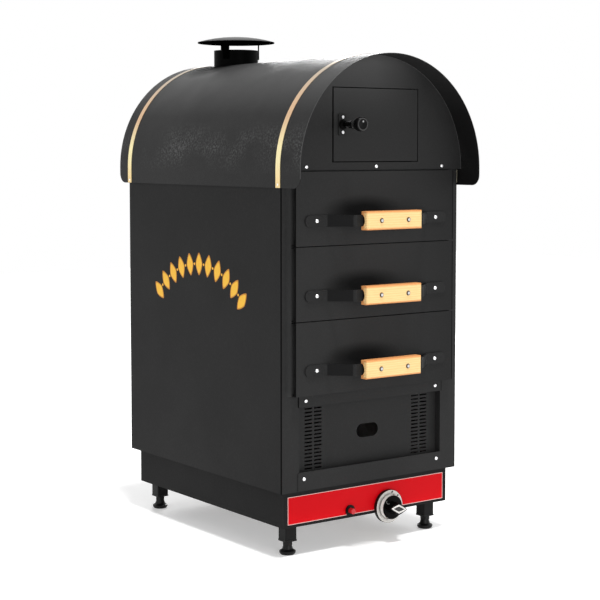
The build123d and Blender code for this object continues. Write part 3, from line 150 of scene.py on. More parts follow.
class OvenSizes(PropertyGroup):
    """Sizes of the marks and of the finishes' grain."""

    panel_grain: length("Panel grain", "Width of the coat's bumps on the panels", 0.0021)
    roof_grain: length("Roof grain", "Width of the coat's bumps on the roof", 0.0028)
    wood_pore: length("Wood fibre", "Width of the fibres of the grips", 0.0011)
    pinstripe: length("Pinstripe", "Width of the pale line round the fascia", 0.0012)
    seam: length("Corner seam", "Width of the dark seam down the front corners", 0.0026)
    arc_radius: length("Arc radius", "Radius of the row of lozenges on the sides", 0.249)
    arc_middle: length("Arc middle", "Height of the arc's centre above the floor", 0.379)
    arc_forward: length("Arc centre", "The arc's centre along the cabinet", 0.0225, low=-2.0)
    arc_half: FloatProperty(
        name="Half angle",
        description="Half of the angle that the row covers",
        default=math.radians(45),
        subtype="ANGLE",
    )
    lozenge_count: IntProperty(
        name="Lozenges", description="Lozenges in the row", default=11, min=3, max=40
    )
    lozenge_tall: length("Lozenge height", "Height of the middle lozenges", 0.053)
    lozenge_wide: length("Lozenge width", "Width of the lozenges", 0.029)
    mark_thick: length("Mark thickness", "Thickness of the painted marks", 0.00015)


class OvenColours(PropertyGroup):
    """Colours of the finishes."""

    coat: colour("Coat", "Black powder coat of the casing", (0.0175, 0.0175, 0.0176))
    roof: colour("Roof coat", "Black powder coat of the roof", (0.0105, 0.0105, 0.0106))
    # Painted shade on the folds, inside the hood and round the flue, and the dark corner seams
    shade: colour("Fold", "Folds, seams and the hoods' sooty inside", (0.0012, 0.0012, 0.0013))
    # Painted light on the roof's front edge, crown and speckles, on the arch, the door's top and
    # the posts
    sheen_or_rivet: colour("Rubbed", "Cut edges and worn speckles of the coat", (0.09, 0.09, 0.09))
    black: colour("Black", "Black mouldings and straps", (0.004, 0.004, 0.0042))
    flue: colour("Flue", "Coat of the flue", (0.0005, 0.0006, 0.0006))
    legs: colour("Legs", "Coat of the legs", (0.005, 0.005, 0.0051))
    red: colour("Red", "Enamel of the fascia", (0.66, 0.002, 0.007))
    stripe: colour("Pinstripe", "Line round the fascia", (0.85, 0.56, 0.53))
    button: colour("Button", "Igniter button", (0.5, 0.008, 0.014))
    # The strips' colours from foot to ridge are a painted reflection
    brass: colour("Strip end", "Satin brass strips at the skirts' foot", (0.95, 0.72, 0.34))
    brass_reflection_low: colour("Strip low", "Satin brass strips above the skirts", (1.0, 0.9, 0.5))
    brass_reflection_mid: colour("Strip middle", "Satin brass strips, halfway up", (0.7, 0.46, 0.27))
    brass_reflection_top: colour("Strip top", "Satin brass strips, near the ridge", (0.5, 0.44, 0.35))
    gold: colour("Gold", "Paint of the side marks", (1.0, 0.56, 0.045))
    gold_edge: colour("Gold edge", "Outline of the side marks", (0.62, 0.24, 0.02))
    wood: colour("Wood", "Pale wood of the grips' faces", (0.98, 0.7, 0.33))
    wood_dark: colour("Late wood", "Darker lines of the grips", (0.86, 0.5, 0.19))
    # Painted shade on the grips' rounded rims and sides
    wood_rim_shade: colour("Wood rims", "Wood of the grips' rounded rims", (0.78, 0.34, 0.12))
    zinc: colour("Zinc", "Bright rivets and screws", (0.93, 0.93, 0.94))
    steel: colour("Steel", "Oven steel", (0.5, 0.5, 0.51))
    silver: colour("Silver", "Spun ring and the knob's rim", (0.86, 0.84, 0.81))
    fitting: colour("Fitting", "Turned brass of the gas fittings", (0.72, 0.5, 0.2))


def sizes():
    return bpy.context.scene.oven_sizes


def colours():
    return bpy.context.scene.oven_colours


# ---------------------------------------------------------------- node helpers


def middle(box):
    """A box's middle."""
    return tuple((low + high) / 2 for low, high in zip(*box))


def scaled(base, share, lift=0.0):
    """A colour with each part scaled by share and raised by lift."""
    return tuple(part * share + lift for part in base)


class Nodes:
    """A node tree, with short ways to add the nodes that the finishes use."""

    def __init__(self, tree):
        self.tree = tree
        self.link = tree.links.new

    def add(self, kind, inputs=None, **settings):
        """Adds a node, sets its settings, links or sets its inputs; returns its outputs."""
        made = self.tree.nodes.new(kind)
        for key, value in settings.items():
            setattr(made, key, value)
        for key, value in (inputs or {}).items():
            if isinstance(value, bpy.types.NodeSocket):
                self.link(value, made.inputs[key])
            else:
                made.inputs[key].default_value = value
        return made.outputs

    def maths(self, operation, *values, clamp=False):
        """A Math node's result."""
        inputs = dict(enumerate(values))
        return self.add("ShaderNodeMath", inputs, operation=operation, use_clamp=clamp)[0]

    def times(self, first, second):
        return self.maths("MULTIPLY", first, second)

    def plus(self, first, second, clamp=False):
        return self.maths("ADD", first, second, clamp=clamp)

    def minus(self, first, second, clamp=False):
        return self.maths("SUBTRACT", first, second, clamp=clamp)

    def larger(self, first, second):
        return self.maths("MAXIMUM", first, second)

    def unsigned(self, value):
        """A value without its sign."""
        return self.maths("ABSOLUTE", value)

    def below(self, value, limit):
        return self.maths("LESS_THAN", value, limit)

    def above(self, value, limit):
        return self.maths("GREATER_THAN", value, limit)

    def remap(self, value, low, high, to_low=0.0, to_high=1.0):
        """A value carried from low and high to two others, and held between them."""
        inputs = {"Value": value, 1: low, 2: high, 3: to_low, 4: to_high}
        return self.add("ShaderNodeMapRange", inputs)[0]

    def mix(self, factor, first, second):
        """Two colours mixed by a factor."""
        inputs = {0: factor}
        for index, value in ((6, first), (7, second)):
            linked = isinstance(value, bpy.types.NodeSocket)
            inputs[index] = value if linked else (*value, 1.0)
        return self.add("ShaderNodeMix", inputs, data_type="RGBA")[2]

    def place(self, scale=(1, 1, 1), move=(0, 0, 0)):
        """Object coordinates, scaled and then moved."""
        source = self.add("ShaderNodeTexCoord")["Object"]
        inputs = {"Vector": source, "Location": move, "Scale": scale}
        return self.add("ShaderNodeMapping", inputs)[0]

    def axis(self, number):
        """One object coordinate: 0 for X, 1 for Y, 2 for Z."""
        source = self.add("ShaderNodeTexCoord")["Object"]
        return self.add("ShaderNodeSeparateXYZ", {0: source})[number]

    def outside(self, number, low, high):
        """1 where an object coordinate is outside low to high."""
        value = self.axis(number)
        return self.plus(self.below(value, low), self.above(value, high), clamp=True)

    def noise(self, place, scale, detail, rough=0.5):
        """A Noise texture's value."""
        inputs = {"Vector": place, "Scale": scale, "Detail": detail, "Roughness": rough}
        return self.add("ShaderNodeTexNoise", inputs)[0]

    def reach(self, place):
        """A vector's length."""
        return self.add("ShaderNodeVectorMath", {0: place}, operation="LENGTH")["Value"]

    def hypot(self, first, second):
        """The square root of the sum of two squares."""
        squares = [self.maths("POWER", part, 2.0) for part in (first, second)]
        return self.maths("SQRT", self.plus(*squares))

    def from_line(self, x, z):
        """Distance from a line along Y through x and z."""
        return self.reach(self.place(scale=(1, 0, 1), move=(-x, 0, -z)))

    def from_pair(self, x, z):
        """Distance from the nearer of two lines along Y, at x and at -x."""
        side = self.minus(self.unsigned(self.axis(0)), x)
        return self.hypot(side, self.minus(self.axis(2), z))

    def from_hood_axis(self):
        """Distance from the half round's axis, or from the middle plane below its springing."""
        high = ROOF[1]
        up = self.minus(self.axis(2), high[2] - high[0])
        return self.hypot(self.axis(0), self.larger(up, 0.0))

    def about_flue(self, box):
        """Object coordinates in plan, from the middle of a flue part's box."""
        return self.place(scale=(1, 1, 0), move=(0, -middle(box)[1], 0))

    def seen(self):
        """1 where the camera, metal or glass sees the surface."""
        path = self.add("ShaderNodeLightPath")
        direct = self.plus(path["Is Camera Ray"], path["Is Glossy Ray"])
        return self.plus(direct, path["Is Transmission Ray"], clamp=True)

    def group(self, name, build, **inputs):
        """Adds the named group, which build makes at its first use."""
        if name not in bpy.data.node_groups:
            build(name)
        return self.add("ShaderNodeGroup", inputs, node_tree=bpy.data.node_groups[name])

    def grain(self, place, cells):
        """The coat's bumps and flecks."""
        return self.group("coat_grain", build_grain, Place=place, Cells=cells)

    def handled(self, place):
        """The patches dulled by handling."""
        return self.group("handling", build_handling, Place=place)[0]

    def brushed(self, lines):
        """Streaks over the object."""
        return self.group("brushing", build_brushing, Place=self.place(), Lines=lines)[0]

    def fibres(self, place, pore):
        """Growth lines and pores."""
        return self.group("fibres", build_fibres, Place=place, Pore=pore)


class Finish(Nodes):
    """A new material: its nodes and its Principled shader's inputs, with plain values set."""

    def __init__(self, name, **values):
        self.material = bpy.data.materials.new(name)
        self.material.use_nodes = True
        super().__init__(self.material.node_tree)
        self.shader = self.tree.nodes["Principled BSDF"].inputs
        for key, value in values.items():
            self.shader[key.replace("_", " ")].default_value = value

    def complete(self, tint, dull, height, strength, depth):
        """Feeds the colour, the roughness unless it is None, and the bump; returns the material."""
        self.link(tint, self.shader["Base Color"])
        if dull is not None:
            self.link(dull, self.shader["Roughness"])
        inputs = {"Height": height, "Strength": strength, "Distance": depth}
        self.link(self.add("ShaderNodeBump", inputs)[0], self.shader["Normal"])
        return self.material


def new_group(name, inputs, outputs):
    """An empty shader group whose results are numbers; returns its nodes, entry and exit."""
    group = bpy.data.node_groups.new(name, "ShaderNodeTree")
    for title, kind in inputs.items():
        group.interface.new_socket(title, in_out="INPUT", socket_type=f"NodeSocket{kind}")
    for title in outputs:
        group.interface.new_socket(title, in_out="OUTPUT", socket_type="NodeSocketFloat")
    entry = group.nodes.new("NodeGroupInput").outputs
    leave = group.nodes.new("NodeGroupOutput").inputs
    return Nodes(group), entry, leave


def build_grain(name):
    """Rounded bumps one cell wide with a finer noise on them, and pale flecks in between."""
    inputs = {"Place": "Vector", "Cells": "Float"}
    n, entry, leave = new_group(name, inputs, ("Height", "Fleck"))
    place, count = entry["Place"], entry["Cells"]
    cells = {"Vector": place, "Scale": count, "Smoothness": 0.6}
    bumps = n.add("ShaderNodeTexVoronoi", cells, feature="SMOOTH_F1")["Distance"]
    grit = n.noise(place, n.times(count, 2.3), 3.0, 0.55)
    patches = n.noise(place, n.times(count, 0.45), 4.0, 0.7)
    n.link(n.plus(n.times(bumps, 0.65), grit), leave["Height"])
    n.link(n.remap(patches, 0.48, 0.68), leave["Fleck"])


def build_handling(name):
    """Cloudy patches where hands and cloths have dulled the surface."""
    n, entry, leave = new_group(name, {"Place": "Vector"}, ("Mask",))
    cloud = n.noise(entry["Place"], 4.5, 5.0, 0.62)
    n.link(n.remap(cloud, 0.38, 0.68), leave["Mask"])


def build_brushing(name):
    """Long thin streaks along X of the place that it is given."""
    n, entry, leave = new_group(name, {"Place": "Vector", "Lines": "Float"}, ("Streak",))
    stretch = {"Vector": entry["Place"], "Scale": (0.03, 1.0, 1.0)}
    streak = n.noise(n.add("ShaderNodeMapping", stretch)[0], entry["Lines"], 4.0, 0.7)
    n.link(n.remap(streak, 0.3, 0.7), leave["Streak"])


def build_fibres(name):
    """Growth lines that wander along X, with fine pores between them."""
    n, entry, leave = new_group(name, {"Place": "Vector", "Pore": "Float"}, ("Ring", "Pores"))
    squeeze = {"Vector": entry["Place"], "Scale": (0.06, 1.0, 1.0)}
    place = n.add("ShaderNodeMapping", squeeze)[0]
    rings = {"Vector": place, "Scale": 62.0, "Distortion": 3.2, "Detail": 3.0, "Detail Scale": 1.4}
    wave = n.add("ShaderNodeTexWave", rings, wave_type="BANDS", bands_direction="Z")[0]
    pores = n.noise(place, n.maths("DIVIDE", 1.0, entry["Pore"]), 3.0, 0.7)
    n.link(wave, leave["Ring"])
    n.link(n.remap(pores, 0.4, 0.66), leave["Pores"])


# ---------------------------------------------------------------- zones of the coats


def hood_painted_shade(n):
    """Painted shade on the roof's inner face and in a soft dark ring round the flue, with painted
    gleams in the ring.
    """
    inside = n.below(n.from_hood_axis(), ROOF[1][0] - 0.0007)
    rim = COLLAR[1][0]
    place = n.about_flue(COLLAR)
    reach = n.reach(place)
    ring = n.remap(reach, rim + 0.001, rim + 0.07, 1.0, 0.0)
    parts = n.add("ShaderNodeSeparateXYZ", {0: place})
    turn = n.times(n.maths("ARCTAN2", parts[1], parts[0]), SPOKES)
    spoke = n.remap(n.maths("SINE", turn), 0.5, 1.0, 0.0, 0.7)
    spoke = n.times(spoke, n.remap(reach, rim, rim + 0.02, 1.0, 0.0))
    return n.larger(n.times(inside, 0.7), n.minus(ring, spoke, clamp=True))


def roof_bright(n):
    """Painted light on the roof: a highlight along the sheet's front edge, a paler crown, and a
    band of pale speckles above the skirts.
    """
    rise = n.axis(2)
    edge = n.times(n.below(n.axis(1), ROOF[0][1] + 0.0004), 0.9)
    crown = n.remap(rise, *CROWN, 0.0, 0.5)
    foot, centre, top = SPECKLE
    speckle = n.times(n.remap(rise, foot, centre), n.remap(rise, centre, top, 1.0, 0.0))
    cloud = n.remap(n.noise(n.place(), 9.0, 2.0), 0.4, 0.6)
    spots = n.remap(n.noise(n.place(), 210.0, 3.0, 0.7), 0.46, 0.62, 0.0, 0.9)
    speckle = n.times(n.times(speckle, cloud), spots)
    return n.larger(n.larger(edge, crown), speckle)


def post_painted_light(n):
    """Painted light on the frame's posts: paler where they meet the drawer fronts, above the foot
    of the lowest drawer.
    """
    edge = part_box("drawer_1_front")[1][0]
    high = n.above(n.axis(2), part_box("drawer_3_front")[0][2])
    return n.times(high, n.remap(n.unsigned(n.axis(0)), edge + POST_LIGHT_WIDTH, edge, 0.0, 0.3))


def arch_light(n):
    """Painted light on the arch's coat: paler towards its top, on the side away from the hood's
    shade.
    """
    rise = n.maths("POWER", n.remap(n.axis(2), *ARCH_RISE), 2.0)
    return n.times(rise, n.remap(n.axis(0), 0.0, ARCH_SIDE, 0.75, 0.0))


def arch_rim(n):
    """Painted highlight along the arch plate's edge under the roof, and the painted light of its
    paler top.
    """
    return n.larger(n.above(n.from_hood_axis(), ROOF[1][0] - 0.0024), arch_light(n))


def cowl_crown(n):
    """Painted highlight on the cowl's outer face, where z + rise * (r / R)^2 nears its top."""
    high = COWL[1]
    share = n.maths("DIVIDE", n.reach(n.about_flue(COWL)), high[0])
    top = n.plus(n.axis(2), n.times(n.maths("POWER", share, 2.0), COWL_RISE))
    return n.times(n.above(top, high[2] - 0.0008), n.remap(share, 0.45, 0.95, 1.0, 0.5))


# ---------------------------------------------------------------- materials


def coat(name, base, grain, depth, rough, gloss=0.12, dark=None, bright=None, sheen_or_rivet=None):
    """Powder coat: small bumps, pale flecks and duller patches; dark and bright give zones.

    dark and bright are functions of the nodes giving masks: dark for painted shade and seams,
    bright for painted light and rivets, in sheen_or_rivet.
    """
    n = Finish(name, Specular_IOR_Level=gloss)
    place = n.place()
    height, fleck = n.grain(place, 1.0 / grain)
    mask = n.handled(place)
    pale = scaled(base, 1.4, 0.002)
    tint = n.mix(n.times(fleck, 0.5), base, pale)
    tint = n.mix(n.times(mask, 0.3), tint, pale)
    dull = n.remap(mask, 0.0, 1.0, rough - 0.05, rough + 0.08)
    if bright is not None:
        tint = n.mix(bright(n), tint, colours().sheen_or_rivet if sheen_or_rivet is None else sheen_or_rivet)
    if dark is not None:
        zone = dark(n)
        tint = n.mix(zone, tint, colours().shade)
        dull = n.plus(dull, n.times(zone, 0.5), clamp=True)
    return n.complete(tint, dull, height, 0.55, depth)


def strap_coat(name, black, grey, bend, foot):
    """Coat grey on the flats ahead of bend and behind foot, and black on the slants as painted
    shade.
    """
    n = Finish(name, Specular_IOR_Level=0.1)
    height, fleck = n.grain(n.place(), 620.0)
    tint = n.mix(n.outside(1, bend, foot), black, grey)
    tint = n.mix(n.times(fleck, 0.35), tint, scaled(black, 0.6))
    return n.complete(tint, n.remap(fleck, 0.0, 1.0, 0.4, 0.55), height, 0.4, 0.0002)


def moulding(name, base, rough, gloss=0.5):
    """Moulded plastic: a fine pebble and a few duller patches."""
    n = Finish(name, Specular_IOR_Level=gloss)
    place = n.place()
    height, fleck = n.grain(place, 900.0)
    tint = n.mix(n.times(fleck, 0.4), base, scaled(base, 1.6, 0.003))
    dull = n.remap(n.handled(place), 0.0, 1.0, rough, rough + 0.1)
    return n.complete(tint, dull, height, 0.2, 0.0002)


def mottled_black(name, black, plate=None):
    """Moulded black with a mottled sheen; plate colours what is behind the knob's skirt."""
    n = Finish(name, Specular_IOR_Level=0.04)
    mottle = n.noise(n.place(), 160.0, 2.0)
    tint = n.mix(n.remap(mottle, 0.55, 0.75, 0.0, 0.8), black, scaled(black, 4))
    if plate is not None:
        behind = n.above(n.axis(1), KNOB[0][1] + SKIRT_BACK - 0.002)
        tint = n.mix(behind, tint, plate)
    return n.complete(tint, n.remap(mottle, 0.3, 0.7, 0.3, 0.45), mottle, 0.15, 0.0002)


def lacquer(name, base, x, z):
    """Gloss black with painted highlights: a pale rim round the handle's end, a bright spot and a
    gleam along the neck's top; and scratches.
    """
    n = Finish(name, Specular_IOR_Level=0.08)
    streak = n.brushed(700.0)
    reach = n.from_line(x, z)
    ring = n.times(n.remap(reach, 0.0108, 0.012), n.remap(reach, 0.0132, 0.0142, 1.0, 0.0))
    tint = n.mix(n.times(ring, 0.8), base, HANDLE_RIM_HIGHLIGHT)
    spot = n.remap(n.from_line(x + 0.0015, z + 0.006), 0.0008, 0.0026, 0.8, 0.0)
    crest = n.remap(n.minus(n.axis(2), z + 0.0052), 0.0, 0.0015)
    neck = n.remap(n.axis(1), LATCH[0][1] + 0.03, LATCH[0][1] + 0.038, 0.0, 0.35)
    tint = n.mix(n.larger(spot, n.times(crest, neck)), tint, HANDLE_SPOT_HIGHLIGHT)
    dull = n.plus(n.plus(n.times(ring, 0.3), 0.16), n.times(streak, 0.06))
    return n.complete(tint, dull, streak, 0.08, 0.0001)


def metal(name, base, rough, lines, shine=1.0, shadow_or_stain=0.25):
    """Metal with streaks, and patches where it has dulled."""
    n = Finish(name, Metallic=shine)
    streak = n.brushed(lines)
    dark = scaled(base, 0.78)
    tint = n.mix(n.times(streak, 0.5), base, dark)
    tint = n.mix(n.times(n.handled(n.place()), shadow_or_stain), tint, dark)
    dull = n.plus(n.times(streak, 0.12), rough)
    return n.complete(tint, dull, streak, 0.15, 0.0002)


def bolt_zinc(name, base, z):
    """Zinc whose grip bolts are greyer and duller, with painted shade on each head outside its
    crown.
    """
    n = Finish(name, Metallic=0.9)
    streak = n.brushed(1500.0)
    tint = n.mix(n.times(streak, 0.5), base, scaled(base, 0.78))
    reach = n.from_pair(BOLT_X, z)
    near = n.below(reach, 0.012)
    tint = n.mix(near, tint, scaled(base, 0.62))
    cup = n.times(near, n.remap(reach, 0.0025, 0.0038))
    tint = n.mix(cup, tint, BOLT_CUP_SHADE)
    return n.complete(tint, n.remap(near, 0.0, 1.0, 0.26, 0.42), streak, 0.15, 0.0002)


def brass_painted_reflection(name):
    """Satin brass with a painted reflection: its colour changes from the skirts to the ridge, with
    streaks along it.
    """
    n = Finish(name, Metallic=0.55)
    tone = colours()
    streak = n.brushed(900.0)
    rise = n.remap(n.axis(2), ROOF[0][2], ROOF[1][2])
    tint = n.mix(n.remap(rise, 0.04, 0.2), tone.brass, tone.brass_reflection_low)
    tint = n.mix(n.remap(rise, 0.3, 0.52), tint, tone.brass_reflection_mid)
    tint = n.mix(n.remap(rise, 0.62, 0.9), tint, tone.brass_reflection_top)
    tint = n.mix(0.25, tint, n.mix(streak, tint, tone.brass_reflection_mid))
    return n.complete(tint, n.remap(streak, 0.0, 1.0, 0.32, 0.46), streak, 0.12, 0.0002)


def spun_ring(name, base):
    """Spun steel: fine rings by the distance from the knob's axis, and painted shade on its outer
    wall.
    """
    n = Finish(name, Metallic=0.1, Specular_IOR_Level=0.2)
    x, _, z = middle(BEZEL)
    reach = n.from_line(x, z)
    lines = {"W": reach, "Scale": 1600.0, "Detail": 3.0}
    rings = n.add("ShaderNodeTexNoise", lines, noise_dimensions="1D")[0]
    tint = n.mix(n.remap(rings, 0.35, 0.65, 0.0, 0.5), base, scaled(base, 0.8))
    tint = n.mix(n.above(reach, BEZEL[1][0] - x - 0.0004), tint, RING_WALL_SHADE)
    return n.complete(tint, n.remap(rings, 0.3, 0.7, 0.42, 0.55), rings, 0.1, 0.0001)


def heated_steel(name, base, rough):
    """Oven steel: spangle cells and brown heat tones towards the burner."""
    n = Finish(name, Metallic=0.85)
    place = n.place()
    cells = n.add("ShaderNodeTexVoronoi", {"Vector": place, "Scale": 130.0})["Color"]
    spangle = n.add("ShaderNodeSeparateColor", {0: cells})[0]
    tint = n.mix(n.times(spangle, 0.45), base, scaled(base, 0.7))
    heat = n.times(n.remap(n.axis(2), 0.5, 0.15, 0.0, 0.6), n.handled(place))
    tint = n.mix(heat, tint, BROWNED)
    dull = n.remap(spangle, 0.0, 1.0, rough, rough + 0.15)
    return n.complete(tint, dull, spangle, 0.08, 0.0002)


def oiled_wood(name, shift, grip):
    """Pale hardwood: growth lines along the grip and pores, with painted shade on its warmer rims
    and in a dark ring round each bolt.
    """
    n = Finish(name, Specular_IOR_Level=0.25)
    tone = colours()
    place = n.place(move=(shift, 0.0, shift * 0.7))
    ring, pores = n.fibres(place, sizes().wood_pore)
    tint = n.mix(n.times(ring, 0.45), tone.wood, tone.wood_dark)
    tint = n.mix(n.times(pores, 0.3), tint, tone.wood_dark)
    low, high = grip
    z = middle(grip)[2]
    half = (high[2] - low[2]) / 2
    across = n.remap(n.unsigned(n.minus(n.axis(2), z)), half - 0.0052, half - 0.0022)
    behind = n.remap(n.axis(1), low[1] + 0.009, low[1] + 0.014)
    tint = n.mix(n.larger(across, behind), tint, tone.wood_rim_shade)
    shadow_or_stain = n.remap(n.from_pair(BOLT_X, z), 0.0048, 0.0064, 0.85, 0.0)
    tint = n.mix(shadow_or_stain, tint, BOLT_RING_SHADE)
    return n.complete(tint, n.remap(pores, 0.0, 1.0, 0.42, 0.58), pores, 0.2, 0.0002)


def enamel(name, base, line, inset):
    """Gloss enamel with a pale line round its edge, and a faint orange peel."""
    n = Finish(name, Specular_IOR_Level=0.08)
    low, high = FASCIA
    sides = n.outside(0, low[0] + inset, high[0] - inset)
    ends = n.outside(2, low[2] + inset, high[2] - inset)
    place = n.place()
    mask = n.handled(place)
    tint = n.mix(n.times(mask, 0.3), base, scaled(base, 0.88))
    tint = n.mix(n.larger(sides, ends), tint, line)
    dull = n.remap(mask, 0.0, 1.0, 0.3, 0.42)
    return n.complete(tint, dull, n.noise(place, 260.0, 2.0), 0.12, 0.0002)


def mark_paint(name, inner, edge):
    """Paint of a mark: its colour inside and its outline's colour near the rim, by UV."""
    n = Finish(name, Specular_IOR_Level=0.3)
    uv = n.add("ShaderNodeUVMap", uv_map="UVMap")[0]
    rim = n.remap(n.add("ShaderNodeSeparateXYZ", {0: uv})[0], 0.8, 0.86)
    height, fleck = n.grain(n.place(), 420.0)
    tint = n.mix(n.times(fleck, 0.35), inner, scaled(inner, 0.82))
    tint = n.mix(rim, tint, edge)
    return n.complete(tint, n.remap(fleck, 0.0, 1.0, 0.45, 0.55), height, 0.15, 0.0001)


def fibre(name, base):
    """Mineral fibre: tangled strands and soft hollows."""
    n = Finish(name, Roughness=0.95, Specular_IOR_Level=0.1)
    pores = n.fibres(n.place(), 0.0012)["Pores"]
    tint = n.mix(n.times(pores, 0.7), base, scaled(base, 0.6))
    return n.complete(tint, None, pores, 0.8, 0.001)


def dress(material, *names):
    """Gives a material to CAD nodes, on each of their slots."""
    for name in names:
        target = NODES[name]
        if not target.material_slots:
            target.data.materials.append(material)
        for slot in target.material_slots:
            slot.material = material


# ---------------------------------------------------------------- surfaces


def surface(name, points, material, body, reach=None, closed=True):
    """Sheets of quads over points[sheet, row, column, xyz]; closed joins last column to first.

    reach gives each point's first UV number. Doubled points at poles are merged.
    """
    count, rows, columns = points.shape[:3]
    index = np.arange(count * rows * columns).reshape(count, rows, columns)
    if closed:
        index = np.concatenate([index, index[:, :, :1]], axis=2)
    corners = (index[:, :-1, :-1], index[:, 1:, :-1], index[:, 1:, 1:], index[:, :-1, 1:])
    faces = np.stack(corners, axis=-1).reshape(-1, 4)
    mesh = bpy.data.meshes.new(name)
    mesh.from_pydata(points.reshape(-1, 3).tolist(), [], faces.tolist())
    if reach is not None:
        layer = mesh.uv_layers.new(name="UVMap")
        flat = np.broadcast_to(reach, points.shape[:3]).reshape(-1)[faces.reshape(-1)]
        layer.uv.foreach_set("vector", np.stack([flat, flat * 0.0], axis=-1).reshape(-1))
    mesh.materials.append(material)
    mesh.polygons.foreach_set("use_smooth", np.full(len(faces), True))
    work = bmesh.new()
    work.from_mesh(mesh)
    bmesh.ops.remove_doubles(work, verts=work.verts, dist=1e-6)
    bmesh.ops.recalc_face_normals(work, faces=work.faces)
    work.to_mesh(mesh)
    work.free()
    piece = bpy.data.objects.new(name, mesh)
    bpy.context.scene.collection.objects.link(piece)
    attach(piece, body)


def full_turn(steps):
    """Angles all the way round."""
    return np.linspace(0, 2 * np.pi, steps, endpoint=False)


def lozenge_outline(steps, bend):
    """Unit outline |x|^bend + |y|^bend = 1 at each angle: 1 is a lozenge, 2 a circle."""
    c = np.cos(full_turn(steps))
    s = np.sin(full_turn(steps))
    size = (np.abs(c) ** bend + np.abs(s) ** bend) ** (-1 / bend)
    return c * size, s * size


# ---------------------------------------------------------------- operators


class OVEN_OT_stage(Operator):
    """Floor, lamps, world and camera"""

    bl_idname = "oven.stage"
    bl_label = "Stage"

    def execute(self, context):
        scene = context.scene
        scene.view_settings.view_transform = "Standard"
        self.floor(scene)
        self.world(scene)
        for name, place, target, size, power in LAMPS:
            self.lamp(scene, name, place, target, size, power)
        self.overhead(scene)
        self.camera(scene)
        return {"FINISHED"}

    def floor(self, scene):
        """A level square 14 m wide whose points are a grid of two lengths."""
        line = np.linspace(-7.0, 7.0, 8)
        x, y = np.meshgrid(line, line)
        points = np.stack([x, y, np.zeros_like(x)], axis=-1)
        index = np.arange(64).reshape(8, 8)
        corners = (index[:-1, :-1], index[:-1, 1:], index[1:, 1:], index[1:, :-1])
        faces = np.stack(corners, axis=-1).reshape(-1, 4)
        mesh = bpy.data.meshes.new("floor")
        mesh.from_pydata(points.reshape(-1, 3).tolist(), [], faces.tolist())
        floor = bpy.data.objects.new("floor", mesh)
        scene.collection.objects.link(floor)
        white = (1, 1, 1, 1)
        n = Finish("floor_paper", Roughness=0.9, Specular_IOR_Level=0.1, Emission_Color=white)
        shade = n.noise(n.place(), 18.0, 3.0)
        n.link(n.mix(shade, (0.88, 0.88, 0.88), (0.9, 0.9, 0.9)), n.shader["Base Color"])
        n.link(n.times(n.seen(), FLOOR_GLOW), n.shader["Emission Strength"])
        mesh.materials.append(n.material)

    def world(self, scene):
        """White where the camera, metal or glass sees it, and weaker as light."""
        world = bpy.data.worlds.new("studio")
        scene.world = world
        world.use_nodes = True
        n = Nodes(world.node_tree)
        backing = n.tree.nodes["Background"].inputs
        backing["Color"].default_value = (1, 1, 1, 1)
        n.link(n.remap(n.seen(), 0.0, 1.0, WORLD_LIGHT, 1.0), backing["Strength"])

    def light(self, scene, name, kind, power, place, turn):
        """A light of a kind at a place; returns the lamp and its data."""
        data = bpy.data.lights.new(name, kind)
        data.energy = power
        lamp = bpy.data.objects.new(name, data)
        scene.collection.objects.link(lamp)
        lamp.location = place
        lamp.rotation_euler = turn
        return lamp, data

    def lamp(self, scene, name, place, target, size, power):
        """A square soft lamp turned towards a point."""
        way = np.asarray(target) - np.asarray(place)
        tilt = math.atan2(math.hypot(way[0], way[1]), -way[2])
        turn = (tilt, 0.0, math.atan2(-way[0], way[1]))
        lamp, data = self.light(scene, name, "AREA", power, place, turn)
        lamp.visible_camera = False
        data.size = size

    def overhead(self, scene):
        """Light from nearly straight above, so that the floor's shadow stays under the oven."""
        turn = (math.radians(12.5), math.radians(-2.5), 0.0)
        _, data = self.light(scene, "lamp_overhead", "SUN", 2.3, (0.0, 0.0, 3.0), turn)
        data.angle = math.radians(8)

    def camera(self, scene):
        """The camera at the photograph's place and angle."""
        data = bpy.data.cameras.new("camera")
        data.lens = CAMERA_LENS
        data.sensor_width = 36.0
        data.shift_y = CAMERA_SHIFT
        camera = bpy.data.objects.new("camera", data)
        scene.collection.objects.link(camera)
        camera.location = CAMERA_AT
        tilt = math.radians(90 - CAMERA_DOWN)
        camera.rotation_euler = (tilt, 0.0, math.radians(-CAMERA_RIGHT))
        scene.camera = camera


